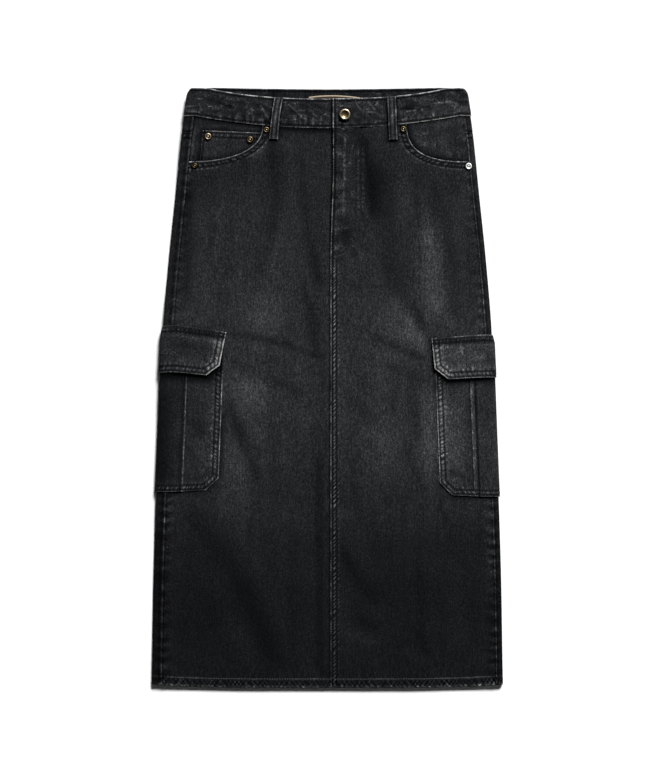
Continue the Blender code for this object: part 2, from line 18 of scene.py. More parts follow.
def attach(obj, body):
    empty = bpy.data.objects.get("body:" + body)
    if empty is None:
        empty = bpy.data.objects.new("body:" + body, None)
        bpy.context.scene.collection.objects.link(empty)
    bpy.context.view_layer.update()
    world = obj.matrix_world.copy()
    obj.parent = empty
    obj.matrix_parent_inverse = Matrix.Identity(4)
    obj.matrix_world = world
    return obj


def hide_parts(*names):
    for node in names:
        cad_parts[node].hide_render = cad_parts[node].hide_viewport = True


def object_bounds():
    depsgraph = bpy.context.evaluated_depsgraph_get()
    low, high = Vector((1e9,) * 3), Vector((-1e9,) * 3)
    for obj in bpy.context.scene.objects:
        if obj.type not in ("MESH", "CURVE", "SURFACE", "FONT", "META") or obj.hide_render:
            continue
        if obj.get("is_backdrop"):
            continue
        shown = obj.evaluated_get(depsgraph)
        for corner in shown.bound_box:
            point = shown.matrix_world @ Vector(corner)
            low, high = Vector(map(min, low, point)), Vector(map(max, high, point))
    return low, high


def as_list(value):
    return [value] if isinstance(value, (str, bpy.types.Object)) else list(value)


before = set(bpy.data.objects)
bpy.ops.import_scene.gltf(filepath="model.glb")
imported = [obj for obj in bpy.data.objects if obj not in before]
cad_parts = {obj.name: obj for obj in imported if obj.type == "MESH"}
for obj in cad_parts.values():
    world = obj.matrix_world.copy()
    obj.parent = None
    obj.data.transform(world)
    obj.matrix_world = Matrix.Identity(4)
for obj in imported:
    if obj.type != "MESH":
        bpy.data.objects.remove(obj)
cad_box = [list(corner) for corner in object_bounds()]
print("nodes:", len(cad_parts), "box in mm:", [[round(1000 * c, 1) for c in corner] for corner in cad_box])

# %% [markdown]
# ## The camera, the table and the light
#
# A garment that is laid flat is looked at from straight above with a long lens, far away, so that nothing looks wider
# near the middle. We place the camera 3.2 m up and work out its focal length from the height of the picture on the
# cloth. The table is one big plane, bright enough to turn white. A wide sun from the top right gives a soft shadow at
# the left side and under the hem, and two big soft boxes give the metal something to reflect.

# %% Camera
VIEW_HEIGHT, CAMERA_HEIGHT, CLOTH_HEIGHT = 1.0404, 3.2, 0.006
SENSOR = 24.0

camera_data = bpy.data.cameras.new("camera")
camera_data.sensor_fit = "VERTICAL"
camera_data.sensor_height = SENSOR
camera_data.lens = SENSOR * (CAMERA_HEIGHT - CLOTH_HEIGHT) / VIEW_HEIGHT
camera = bpy.data.objects.new("camera", camera_data)
camera.location = (0.0021, -0.0013, CAMERA_HEIGHT)
bpy.context.scene.collection.objects.link(camera)
bpy.context.scene.camera = camera
print("focal length:", round(camera_data.lens, 1), "mm")

# %% Table and light
bpy.context.scene.view_settings.view_transform = "Standard"


def node_material(name):
    """A new material, a function that adds a node to it, and one that sets its main shader."""
    made = bpy.data.materials.new(name)
    made.use_nodes = True
    nodes, links = made.node_tree.nodes, made.node_tree.links

    def wire(target, sockets):
        for key, value in sockets.items():
            if isinstance(value, bpy.types.NodeSocket):
                links.new(value, target.inputs[key])
            else:
                target.inputs[key].default_value = value

    def node(kind, sockets={}, output=0, **settings):
        """A node with its sockets linked or set. It gives one of the node's outputs."""
        new = nodes.new("ShaderNode" + kind)
        for key, value in settings.items():
            setattr(new, key, value)
        wire(new, sockets)
        return new.outputs[output]

    def shader(sockets):
        wire(nodes["Principled BSDF"], sockets)

    return made, node, shader


def place_new(name, data):
    """A new object in the scene."""
    made = bpy.data.objects.new(name, data)
    bpy.context.scene.collection.objects.link(made)
    return made


table_finish, _, shader = node_material("table_white")
shader({"Base Color": (0.78, 0.78, 0.78, 1), "Roughness": 0.9, "Specular IOR Level": 0.0})
bm = bmesh.new()
bmesh.ops.create_grid(bm, x_segments=1, y_segments=1, size=6.0)
table_mesh = bpy.data.meshes.new("table")
bm.to_mesh(table_mesh)
bm.free()
table_mesh.materials.append(table_finish)
place_new("table", table_mesh)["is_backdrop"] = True

world = bpy.data.worlds.new("studio")
world.use_nodes = True
sky = world.node_tree.nodes["Background"].inputs
sky["Color"].default_value, sky["Strength"].default_value = (1.0, 0.975, 0.95, 1), 0.03
bpy.context.scene.world = world


def lamp(kind, name, place, strength, size):
    """A lamp at a place, turned towards the middle of the skirt."""
    data = bpy.data.lights.new(name, kind)
    data.energy = strength
    setattr(data, "angle" if kind == "SUN" else "size", size)
    made = place_new(name, data)
    made.location = place
    made.rotation_euler = (-Vector(place)).to_track_quat("-Z", "Y").to_euler()


lamp("SUN", "key", (0.9, 2.4, 1.55), 8.5, radians(19))
lamp("AREA", "box_top", (-0.4, 1.6, 1.9), 2.8, 0.5)
lamp("AREA", "box_right", (1.9, -0.3, 1.7), 2.2, 0.5)

# %% [markdown]
# ## The measures of the laid skirt
#
# A skirt is a tube of cloth, wider at the hem. Laid down, the tube is pressed flat: the back lies on the table, the
# cloth turns at both sides in a tight fold, and the front lies on top. If we can say where any point of that
# flattened tube is, every piece of the skirt becomes easy: it is a patch of the tube, moved outwards by the layers
# under it. So this cell gives the measures in metres, with "depth" for the distance below the top of the waist, and
# the next cell turns them into points. They are the same measures as the CAD model has.

# %% Measures
LENGTH, CLOTH, GAP = 0.800, 0.0010, 0.0003
FOLD_RADIUS, THICK_FOLD_RADIUS = 0.0010, 0.0017
LAY_SHIFT, FRONT_CENTRE, SIDE_SEAM_INSET = 0.0022, 0.0040, 0.0113
WAISTBAND, WAISTBAND_WALL, WAISTBAND_PROUD = 0.0365, 0.0028, 0.0012
WAIST_CORNER, WAIST_CORNER_RUN = 0.0035, 0.009
FRONT_TOP_DIP, FRONT_TOP_REACH = 0.0133, 0.157
FRONT_SEAM_DIP, FRONT_SEAM_REACH = 0.0163, 0.1765
OVERLAP_EDGE, UNDERLAP_EDGE = 0.0070, 0.0430
HEM, HEM_WALL, YOKE_AT_SIDE, YOKE_AT_CENTRE = 0.012, 0.0021, 0.0573, 0.100
FLY_LENGTH, FLY_EDGE, FLY_UNDERLAP = 0.178, 0.0033, 0.008
MOUTH_DEPTH, FACING_REACH, COIN_REACH = 0.0970, 1.22, 1.07
COIN_INNER, COIN_OUTER = 0.4515, 0.9235
COIN_TOP_OUTER, COIN_TOP_INNER = 0.0555, 0.0592
LOOP_WIDTH, LOOP_WALL, LOOP_BOW = 0.0123, 0.0015, 0.0010
POCKET_HALF, POCKET_CORNER, POCKET_TOP = 0.0688, 0.0165, 0.014
PLEAT_WALL, FLAP_WALL, FLAP_LIFT = 0.0016, 0.0014, 0.0012
FLAP_CORNER_ACROSS, FLAP_CORNER_ALONG = 0.0175, 0.0155
BUTTON_X, BUTTON_DEPTH, BUTTON_RADIUS, RIVET_RADIUS = 0.0233, 0.0350, 0.0075, 0.0045
LABEL_WIDTH, LABEL_HEIGHT, LABEL_X, LABEL_DEPTH = 0.070, 0.026, 0.010, 0.009

Side = namedtuple("Side", "name sign mouth_start mouth_power coin_pocket")
LEFT, RIGHT = Side("left", 1, 0.5690, 2.80, False), Side("right", -1, 0.4874, 2.40, True)
SIDES = (LEFT, RIGHT)  # the wearer's left is at +X

Cargo = namedtuple("Cargo", "depth length flap flap_top flap_foot pleat slope_top slope_foot")
CARGO = {
    "left": Cargo(0.3282, 0.2165, 0.0572, 0.0719, 0.0697, 0.0228, 0.080, -0.040),
    "right": Cargo(0.3158, 0.2225, 0.0626, 0.0708, 0.0642, 0.0212, 0.150, -0.050),
}
Loop = namedtuple("Loop", "name face x_top x_foot foot")
BELT_LOOPS = [
    Loop("belt_loop_front_right", "front", -0.0645, -0.0719, 0.0675),
    Loop("belt_loop_front_left", "front", 0.0855, 0.0877, 0.0680),
    Loop("belt_loop_back_right", "back", -0.1050, -0.1070, 0.0500),
    Loop("belt_loop_back_centre", "back", -LAY_SHIFT, -LAY_SHIFT, 0.0500),
    Loop("belt_loop_back_left", "back", 0.1050, 0.1070, 0.0500),
]
Rivet = namedtuple("Rivet", "name x depth on size wear")
RIVETS = [
    Rivet("rivet_right_mouth_inner", -0.0814, 0.0550, "front", 0.86, -0.95),
    Rivet("rivet_right_mouth_outer", -0.1770, 0.1025, "front", 0.80, -1.20),
    Rivet("rivet_coin_outer", -0.1592, 0.0638, "coin", 1.00, -0.25),
    Rivet("rivet_coin_inner", -0.1032, 0.0680, "coin", 0.94, -0.90),
    Rivet("rivet_left_mouth_inner", 0.1012, 0.0540, "front", 0.86, -1.00),
    Rivet("rivet_left_mouth_outer", 0.1885, 0.1033, "front", 0.96, 0.5),
]
OUTLINE = [  # depth, and half the width of the laid skirt there
    (0.000, 0.1857), (0.058, 0.1941), (0.143, 0.2031), (0.229, 0.2120),
    (0.314, 0.2188), (0.464, 0.2254), (0.634, 0.2318), (0.800, 0.2346),
]

RAISED = CLOTH + GAP
WAISTBAND_OUT = CLOTH + WAISTBAND_PROUD
OVERLAP_RAISE = WAISTBAND_WALL + GAP
LOOP_IN = WAISTBAND_OUT + GAP
PLEAT_OUT = RAISED + PLEAT_WALL
POCKET_OUT = RAISED + CLOTH
WAIST_STAND = LOOP_IN + LOOP_WALL
FLAP_STAND = PLEAT_OUT + GAP + FLAP_WALL
BODY_SPACE, WAIST_SPACE, HEM_SPACE = 0.0008, 0.0032, 0.0026
PRESSED = 0.00025  # room between the back and the table for the puckers of its seams

# %% [markdown]
# ## Soft folds and creases
#
# Cloth that was worn and washed never lies quite flat. The broad folds are in the CAD model too. The creases are
# finer: narrow ridges and troughs, each drawn between two points, with an uneven height along its way so that no
# two look alike. The back has its own set, because the skirt may be picked up and turned over.

# %% Folds and creases
Fold = namedtuple("Fold", "x0 depth0 x1 depth1 reach height")


def in_metres(kind, rows):
    """Rows of millimetres, drawn between two points. A tone stroke's last number is in stops and stays as it is."""
    return [kind(*(value / 1000 for value in row[:5]), row[5] / (1000 if kind is Fold else 1)) for row in rows]


FRONT_FOLDS = in_metres(Fold, [
    (-40, 115, -52, 255, 16, 1.2), (78, 120, 86, 290, 18, 1.5), (-30, 300, -120, 380, 26, 1.2),
    (-165, 600, -105, 770, 26, 1.8), (-100, 530, -10, 740, 30, 2), (120, 500, 30, 620, 30, 1.6),
    (150, 610, 110, 770, 32, 1.6), (40, 660, 50, 780, 22, 1),
])
FRONT_CREASES = in_metres(Fold, [
    (-75, 55, -71, 160, 7, 0.7), (-12, 130, -16, 262, 7, 0.8), (52, 75, 71, 168, 9, 1.2),
    (71, 168, 101, 270, 10, 1), (101, 270, 133, 322, 8, 0.9), (146, 130, 168, 245, 9, 0.9),
    (168, 245, 176, 305, 8, 0.7), (-118, 322, -25, 344, 6, 0.7), (-100, 352, -40, 360, 6, 0.6),
    (-112, 372, -60, 352, 5, 0.5), (-137, 405, -100, 470, 8, 0.8), (28, 398, 70, 445, 10, 0.7),
    (78, 440, 82, 490, 8, 0.6), (24, 610, 100, 690, 12, 0.8), (-30, 620, -20, 720, 10, 0.6),
])
BACK_CREASES = in_metres(Fold, [
    (-120, 150, -60, 210, 14, 0.8), (130, 140, 70, 230, 15, 0.9), (-90, 300, -30, 420, 16, 0.8),
    (40, 330, 110, 400, 13, 0.7), (-110, 560, -40, 700, 20, 0.9), (60, 520, 120, 680, 18, 0.9),
])


def ease(low, high, value):
    """0 below low, 1 above high, smooth between."""
    t = min(max((value - low) / (high - low), 0.0), 1.0)
    return t * t * (3 - 2 * t)


def plateau(low, high, run, value):
    """1 from low to high, easing to 0 over run on both sides."""
    return ease(low - run, low, value) * (1 - ease(high, high + run, value))


def bell(value, width):
    """1 where the value is 0, falling smoothly to both sides."""
    return exp(-((value / width) ** 2))


def spread(start, end, count):
    """count + 1 values from start to end."""
    return [start + (end - start) * i / count for i in range(count + 1)]


def near_line(fold, x, depth):
    """Distance to a fold's line, and how far along it the nearest point is, from 0 to 1."""
    along_x, along_d = fold.x1 - fold.x0, fold.depth1 - fold.depth0
    t = ((x - fold.x0) * along_x + (depth - fold.depth0) * along_d) / (along_x**2 + along_d**2)
    t = min(max(t, 0.0), 1.0)
    return hypot(x - fold.x0 - t * along_x, depth - fold.depth0 - t * along_d), t


def ridge(fold, x, depth):
    """Height of one broad fold at a point."""
    away, t = near_line(fold, x, depth)
    return fold.height * bell(away, fold.reach) * (0.4 + 0.6 * sin(pi * t))


def crease(fold, x, depth):
    """Height of one fine crease, uneven along its way."""
    away, t = near_line(fold, x, depth)
    if away > 2.6 * fold.reach:
        return 0.0
    swell = 0.75 + 0.5 * noise.noise(Vector((x * 60, depth * 60, fold.height * 9000)))
    return fold.height * swell * bell(away, fold.reach) * (0.15 + 0.85 * sin(pi * t))


# %% [markdown]
# ## Where a point of the laid tube is
#
# Four short functions say where a point of the front, of the back and of the side folds is, as (x, y, z). "out" moves
# it outwards from the inside of the tube, by as many layers as lie under a piece. The height of the back above the
# table is a function too, because the back rests on its own pockets, belt loops and waistband.

# %% The flattened tube
def half_width(depth):
    """Half the width of the laid skirt: a smooth curve through OUTLINE, rounded at the waist's corners."""
    i = max(k for k in range(len(OUTLINE) - 1) if k == 0 or OUTLINE[k][0] <= depth)

    def slope(k):
        (d0, w0), (d1, w1) = OUTLINE[max(k - 1, 0)], OUTLINE[min(k + 1, len(OUTLINE) - 1)]
        return (w1 - w0) / (d1 - d0)

    (depth0, width0), (depth1, width1) = OUTLINE[i], OUTLINE[i + 1]
    run = depth1 - depth0
    t = min((depth - depth0) / run, 1.0)
    width = width0 * (1 + 2 * t) * (1 - t) ** 2 + width1 * t * t * (3 - 2 * t)
    width += slope(i) * run * t * (1 - t) ** 2 + slope(i + 1) * run * t * t * (t - 1)
    return width - WAIST_CORNER * max(1 - depth / WAIST_CORNER_RUN, 0.0) ** 2


def fold_radius(depth):
    """Inside radius of the side folds: rounder at the waist and the hem, where the cloth is thick."""
    thick = 1 - ease(0.040, 0.140, depth) + ease(LENGTH - 0.090, LENGTH - 0.016, depth)
    return FOLD_RADIUS + (THICK_FOLD_RADIUS - FOLD_RADIUS) * thick


def fold_line(depth):
    return half_width(depth) - CLOTH - fold_radius(depth)


def back_stand(x, depth):
    """Height of the back's inside face above the table."""
    stand = CLOTH + (WAIST_STAND - CLOTH) * (1 - ease(0.052, 0.160, depth))
    edge = half_width(depth) - abs(x)
    if edge < 0.145 and 0.24 < depth < 0.63:
        cargo = CARGO["left" if x > 0 else "right"]
        pocket = plateau(cargo.depth, cargo.depth + cargo.length + 0.010, 0.070, depth)
        flap = plateau(cargo.depth, cargo.depth + cargo.flap + 0.010, 0.070, depth)
        stand += (1 - ease(0.088, 0.145, edge)) * (
            (PLEAT_OUT - CLOTH) * pocket + (FLAP_STAND - PLEAT_OUT) * flap
        )
    inner = ease(0.010, 0.045, edge)
    return stand + inner * sum(crease(fold, x, depth) for fold in BACK_CREASES)


def space(x, depth):
    """Distance between the inside faces of front and back."""
    waist = 1 - ease(0.052, 0.160, depth)
    hem = ease(LENGTH - 0.090, LENGTH - 0.016, depth)
    middle = BODY_SPACE + (WAIST_SPACE - BODY_SPACE) * waist + (HEM_SPACE - BODY_SPACE) * hem
    middle += sum(ridge(fold, x, depth) for fold in FRONT_FOLDS)
    middle += sum(crease(fold, x, depth) for fold in FRONT_CREASES)
    at_fold = 2 * fold_radius(depth)
    inside = max(fold_line(depth) - abs(x), 0.0)
    return at_fold + (middle - at_fold) * ease(0.0, 0.070, inside)


def front(x, depth, out=0.0):
    return Vector((x, LENGTH / 2 - depth, back_stand(x, depth) + space(x, depth) + out))


def back(x, depth, out=0.0):
    return Vector((x, LENGTH / 2 - depth, max(back_stand(x, depth) - out + PRESSED, 0.0)))


def side_fold(sign, depth, angle, out=0.0):
    """A point of a side fold: at 90 degrees it leaves the front, at -90 it joins the back."""
    turn, radius = fold_line(depth), fold_radius(depth)
    middle = back_stand(sign * turn, depth) + radius
    return Vector((
        sign * (turn + (radius + out) * cos(radians(angle))),
        LENGTH / 2 - depth,
        max(middle + (radius + out) * sin(radians(angle)) + PRESSED * (1 - sin(radians(angle))) / 2, 0.0),
    ))


def round_fold(sign, depth, distance, out=0.0):
    """A point at a distance round the tube from the fold's outermost line: the front below 0, the back above."""
    quarter = fold_radius(depth) * pi / 2
    if abs(distance) < quarter:
        return side_fold(sign, depth, -90 * distance / quarter, out)
    x = sign * (fold_line(depth) - abs(distance) + quarter)
    return front(x, depth, out) if distance < 0 else back(x, depth, out)


print("the skirt is", round(2000 * half_width(LENGTH), 1), "mm wide at the hem")

# %% [markdown]
# ## How washed black denim gets its colour
#
# Black denim is dyed on the outside of its yarns only. Where it rubs, on edges, on the ridges of puckered seams and
# over the hips and thighs, the pale core comes out. A maker calls these "highs", and the dark places "lows". We keep
# this as one number at every point of the mesh, called tone, in stops: +1 is twice as light, -1 half as light. The
# same number also carries painted shade: the shaded sides of broad folds, the dark beside and under raised pieces,
# and the ditches of seams. The broad fades and fold shades are soft strokes, and the seams add their own fine highs
# and lows later.

# %% Broad fades and painted fold shade
TONE_BY_DEPTH = [
    (0.0, -0.16), (0.12, -0.06), (0.24, 0.10), (0.36, 0.21), (0.48, 0.14),
    (0.56, -0.32), (0.62, -0.98), (0.70, -1.28), (0.80, -1.38),
]
# Strokes of fade, pale and dark, among them painted shade on the shaded sides of broad folds and under the waistband
# and the cargo flaps.
Fade = namedtuple("Fade", "x0 depth0 x1 depth1 reach stops")
FADES_AND_SHADE = in_metres(Fade, [
    (-86, 275, -77, 322, 21, 0.72), (-66, 168, -67, 282, 12, 0.12), (-21, 135, -13, 262, 11, -0.3),
    (-13, 268, -7, 442, 9, -0.35), (-7, 442, -7, 609, 12, -0.3), (41, 48, 56, 102, 11, -0.35),
    (60, 102, 66, 162, 16, -1.12), (70, 162, 97, 262, 15, -0.45), (97, 262, 126, 322, 11, -0.35),
    (30, 182, 33, 208, 13, -0.5), (146, 128, 166, 235, 9, -0.42), (166, 235, 174, 309, 11, -0.35),
    (190, 81, 204, 175, 21, 0.3), (77, 295, 121, 335, 23, 0.8), (97, 322, 124, 349, 12, 0.4),
    (64, 349, 90, 395, 24, 0.35), (-122, 388, -87, 422, 24, 0.98), (-137, 482, -117, 556, 24, 0.55),
    (77, 449, 84, 482, 27, 0.5), (148, 409, 157, 489, 19, 0.75), (182, 415, 190, 509, 9, -0.3),
    (216, 549, 221, 682, 11, 0.35), (-224, 349, -228, 789, 12, -0.5), (-186, 122, -186, 155, 9, -0.6),
    (-200, 148, -210, 309, 16, -0.3), (70, 649, 150, 682, 27, -0.35), (14, 669, 24, 749, 13, 0.45),
    (-37, 455, -21, 549, 27, -0.3), (-97, 509, -50, 549, 24, -0.2), (-170, 389, -154, 509, 16, 0.15),
    (-210, 322, -150, 327, 5, -0.7), (150, 335, 214, 339, 5, -0.4), (-87, 52, 46, 55, 8, -0.45),
    (-184, 41, -90, 41, 11, -0.34), (137, 61, 170, 81, 12, 0.35), (166, 55, 180, 81, 9, -0.5),
    (-110, 342, -23, 351, 7, 0.2), (30, 409, 64, 442, 9, -0.3), (97, 31, 170, 25, 19, 0.35),
    (166, 15, 188, 68, 13, 0.4), (183.4, 40.1, 191.5, 90.4, 1.3, 1.3), (191.5, 49.2, 198.2, 110.5, 1.3, 1),
    (-177.9, 59.2, -182.4, 97.1, 1.3, 1.3), (-182.4, 97.1, -189.1, 137.2, 1.3, 1.1),
    (-186.9, 97.1, -196.9, 137.2, 1.3, 0.7), (-220.9, 395.3, -223.6, 528.9, 21, -1.5),
    (-183.5, 395.3, -163.5, 528.9, 18.7, -0.35), (-223.6, 341.9, -150.1, 348.6, 18.7, -0.45),
    (150.4, 348.6, 210.5, 351.3, 18.7, 0.4), (170.4, 415.4, 177.1, 522.2, 16, 0.6),
    (138.5, 400, 140, 520, 16, 0.6), (-187, 125, -190, 285, 8, -0.95), (209.2, 408.7, 214.5, 528.9, 12, -0.05),
    (-74, 70.8, -68.6, 134.9, 7.3, -0.85), (-68.6, 134.9, -76.7, 201.7, 7.3, -0.75),
    (-76.7, 201.7, -88.7, 244.4, 6.7, -0.45), (-36.6, 84.1, -29.9, 154.9, 4.7, -0.42),
    (-29.9, 154.9, -25.9, 205.7, 5.1, -0.6), (-25.9, 205.7, -8.5, 260.4, 6.7, -0.85),
    (-32.6, 256.4, -27.2, 284.5, 4.8, -0.95), (-27.2, 284.5, -12.6, 355.3, 6.7, -0.75),
    (-32.6, 256.4, -7.2, 293.8, 2.1, 0.35), (-59.3, 172.3, -62, 211, 5.3, 0.28),
    (-114.1, 94.8, -104.7, 129.6, 5.3, -0.5), (-82, 73.5, -96.7, 90.8, 5.3, 0.95),
    (-67.3, 69.5, -48.6, 78.8, 3.5, 0.9), (-163.5, 305.9, -160.8, 311.2, 8, 0.45),
    (-146.1, 269.8, -135.4, 296.5, 2.7, -0.5), (-175.5, 291.2, -151.5, 317.9, 2.7, -0.4),
    (-130.1, 316.5, -100.7, 284.5, 4.7, -0.3), (-128.8, 327.2, -87.3, 332.6, 4.3, -0.8),
    (-87.3, 332.6, -50, 343.2, 4.3, -0.85), (-50, 343.2, -11.2, 357.9, 3.7, -0.9),
    (-128.8, 361.9, -106, 374, 5.1, -0.7), (-106, 374, -33.9, 406, 5.6, -0.48),
    (-47.3, 423.4, -21.9, 444.8, 10.7, 0.28), (-132.8, 414, -119.4, 452.8, 4.8, -0.8),
    (-119.4, 452.8, -107.4, 484.8, 5.9, -0.85), (-107.4, 484.8, -92.7, 522.2, 5.9, -0.6),
    (-116.7, 420.7, -87.3, 468.8, 6, 0.3), (-130.1, 468.8, -116.7, 524.9, 9.3, 0.3),
    (-92.7, 452.8, -92.7, 476.8, 2.4, 0.3), (-178.2, 566.3, -158.1, 595.7, 4, -0.3),
    (-186.2, 559.6, -150.1, 613, 14.7, -0.62), (-150.1, 613, -110.1, 671.8, 16.5, -0.8),
    (-110.1, 671.8, -87.3, 725.2, 16, -0.85), (-87.3, 725.2, -67.3, 773.3, 15, -0.8),
    (-140.8, 548.9, -110.1, 602.4, 13.4, 0.3), (-110.1, 602.4, -79.3, 662.5, 13.4, 0.34),
    (-79.3, 662.5, -59.3, 717.2, 12, 0.3), (-132.8, 709.2, -103.4, 755.9, 12, 0.25),
    (-10.6, 490, -10, 778.7, 4, -0.85), (48.9, 64.1, 56.9, 121.5, 5.1, -0.95),
    (56.9, 121.5, 60.9, 172.3, 5.1, -0.85), (75.6, 105.5, 89, 195, 6.7, -0.28),
    (102.3, 121.5, 109, 169.6, 5.3, 0.3), (118.3, 102.8, 123.7, 231.1, 3.5, -0.38),
    (127.7, 142.9, 134.4, 201.7, 7.5, 0.3), (133.7, 185, 146.4, 303.2, 16.5, 1.12),
    (158.4, 311.2, 171.8, 317.9, 4.7, 0.6), (165.1, 142.9, 174.4, 201.7, 4, 0.22),
    (114.3, 284.5, 131.7, 320.5, 4.5, -0.8), (90.3, 283.1, 110.3, 309.9, 5.3, 0.5),
    (110.3, 309.9, 129, 341.9, 6.7, 0.75), (59.6, 328.6, 130.4, 361.9, 4, -0.8),
    (76.9, 347.3, 130.4, 372.6, 4.8, 0.28), (75.6, 367.3, 130.4, 390, 4.3, -0.5),
    (80.9, 231.1, 91.6, 268.5, 8, -0.3), (44.9, 212.4, 46.2, 231.1, 2.4, 0.65),
    (134.4, 452.8, 137, 548.9, 6, 0.38), (137, 548.9, 134.4, 597, 5.3, 0.25), (119.7, 415.4, 121, 470.1, 4, -0.4),
    (103.6, 474.1, 123.7, 530.2, 4, -0.5), (78.3, 458.1, 89, 522.2, 10.7, 0.28),
    (34.2, 488.8, 40.9, 575.6, 6.7, -0.35), (71.6, 527.6, 80.9, 558.3, 5.3, -0.42),
    (150.4, 543.6, 154.4, 569, 2.6, -0.65), (154.4, 569, 165.1, 603.7, 2.6, -0.5),
    (19.5, 614.4, 38.2, 651.8, 6.7, -0.85), (38.2, 651.8, 60.9, 682.5, 6.7, -0.7),
    (42.2, 707.9, 67.6, 722.6, 4.5, -0.8), (62.2, 694.5, 74.3, 709.2, 3.5, 0.35),
    (24.8, 727.9, 64.9, 742.6, 6.7, 0.45), (115.7, 719.9, 138.4, 757.3, 6.7, -0.48),
    (97, 755.9, 131.7, 764, 5.3, 0.28), (170.4, 666.5, 178.4, 751.9, 9.3, 0.25),
    (-184.8, 440.7, -162.1, 463.5, 6, -0.55), (-179.5, 468.8, -163.5, 496.8, 6.7, 0.4),
    (162.4, 508.9, 194.5, 523.6, 2.9, -0.75), (166.4, 482.2, 174.4, 500.9, 5.3, 0.35),
    (-164.8, 110.9, -164.8, 164.3, 9.3, -0.35), (-155.5, 451.4, -155.5, 456.8, 2.7, 1.6),
    (-154.1, 488.8, -154.1, 494.2, 2.7, 1.6), (-160.8, 523.6, -155.5, 520.9, 2.7, 1.8),
    (147.7, 516.9, 150.4, 522.2, 2.9, 1.1), (159.7, 534.2, 163.7, 538.2, 2.9, 0.9),
    (-116.7, 295.2, -87.3, 305.9, 12, 0.3), (-71.3, 281.8, -60.6, 311.2, 8, 0.2),
    (123.7, 341.9, 129, 351.3, 4, 0.6), (-203.5, 680, -150, 770, 40, -0.38), (-175, 640, -90, 740, 45, -0.16),
    (62, 98, 70, 168, 11, -0.38),
])
# Pale marks run along the creases; the dark ones are painted shade beside the creases and the belt loops.
BAND_MARKS = in_metres(Fade, [  # creases of the front waistband, pale ones first
    (-186.2, 22.7, -174.2, 32.1, 1.1, 2.6), (-171.5, 18.7, -167.5, 29.4, 1.1, 2),
    (-90, 21.4, -79.3, 38.7, 1.2, 2.7), (-52.6, 20, -29.9, 41.4, 1.1, 2.7), (-20.6, 32.1, -12.6, 38.7, 1.1, 2.2),
    (38.2, 19.4, 45.5, 30.7, 1.1, 2.4), (54.2, 17.4, 63.6, 28, 1.1, 2.4), (46.2, 31.4, 66.2, 31.6, 1.1, 1.9),
    (105, 30.7, 118.3, 28, 1.2, 2.3), (141, 19.4, 163.7, 17.4, 1.2, 2), (166.4, 17.4, 175.8, 21.4, 1.1, 1.9),
    (-142.8, 33, -142, 45.5, 2.6, 1.8), (-119.4, 33, -120, 46, 3, 1.6), (-106.7, 33, -106, 46, 1.5, 2),
    (-98.7, 34, -99.2, 46.5, 1.5, 1.8), (-43.3, 37, -43.8, 48, 1.3, 1.9), (-36.6, 36, -36, 48, 1.3, 2),
    (-28.6, 36, -29, 48, 1.3, 1.8), (-19.2, 38, -18.8, 48.5, 1.3, 2), (-8.5, 37, -8.8, 48.5, 1.4, 1.9),
    (105, 36, 105.6, 42, 1.5, 1.6), (122.3, 33, 123, 40, 1.5, 1.6), (141, 30, 141.6, 37, 1.5, 1.8),
    (151.7, 31, 152, 38, 1.3, 1.5), (178.4, 22, 178.8, 30, 1.5, 1.6), (186.4, 23, 186.8, 31, 1.4, 1.5),
    (-147.4, 17.4, -124.7, 25.4, 1.6, -2), (-107.4, 25.4, -102, 32.1, 1.4, -2), (-81.3, 43, -80, 45, 4.2, -2.6),
    (97, 26, 119.7, 27.4, 1.3, -2.4), (101, 24, 137, 24, 3, -1.1), (-126.1, 34, -125.8, 45, 1.6, -1.5),
    (-111.4, 34, -111.2, 45, 1.5, -1.5), (-50, 24, -33, 43, 2.2, -0.9), (42, 30, 64, 34.5, 2, -0.9),
])


def strokes(drawn, x, depth):
    """The sum of some strokes at a point, in stops."""
    stops = 0.0
    for stroke in drawn:
        run_x, run_d = stroke.x1 - stroke.x0, stroke.depth1 - stroke.depth0
        length, reach = hypot(run_x, run_d), stroke.reach
        off_x, off_d = x - stroke.x0, depth - stroke.depth0
        across = (off_x * run_d - off_d * run_x) / length
        if abs(across) < 2.4 * reach:
            along = (off_x * run_x + off_d * run_d) / length
            if -2 * reach < along < length + 2 * reach:  # soft ends, so that a chain of strokes is even
                ends = (erf(along / reach) - erf((along - length) / reach)) / 2 / erf(length / 2 / reach)
                stops += stroke.stops * ends * bell(across, reach)
    return stops


def fade_and_shade(x, depth):
    """The broad fades of the front and the painted shade of its folds, in stops."""
    (d0, t0), (d1, t1) = TONE_BY_DEPTH[-2:]
    for (a, ta), (b, tb) in zip(TONE_BY_DEPTH, TONE_BY_DEPTH[1:]):
        if depth <= b:
            (d0, t0), (d1, t1) = (a, ta), (b, tb)
            break
    streak = 0.28 * noise.noise(Vector((x * 75, depth * 7, 3.0)))  # the dye wears off along the yarns
    return t0 + (t1 - t0) * ease(d0, d1, depth) + streak + strokes(FADES_AND_SHADE, x, depth)


def back_fade(x, depth):
    """The back is worn over the seat and dark towards the hem."""
    seat = 0.55 * exp(-(((abs(x) - 0.085) / 0.06) ** 2) - ((depth - 0.24) / 0.10) ** 2)
    mottle = 0.35 * noise.noise(Vector((x * 14, depth * 9, 4.0)))
    return -0.25 + seat + mottle - 0.9 * ease(0.50, 0.66, depth)


# %% [markdown]
# ## What sewing does to cloth
#
# Every seam shows four things: a folded edge that rubs pale, rows of stitches that pull the cloth down, small
# puckers between the rows, and a dark ditch of painted shade where one piece goes under another. Each is a small
# function of the distance from the edge and the way along it. It returns how much the cloth rises, how much its edge
# rounds off, and how the tone changes. Adding them up dresses any edge of any piece.

# %% Dressing of seams
def tint(stops):
    """A part of the dress that only changes the tone."""
    return 0.0, 0.0, stops


def either(side, left, right):
    """A value for the wearer's left or for the right, because no two sides wear alike."""
    return left if side.sign > 0 else right


def uneven(along, size, seed):
    """Smooth noise along a seam, from about -1 to 1."""
    return 1.6 * noise.noise(Vector((along / size, seed, 0.37)))


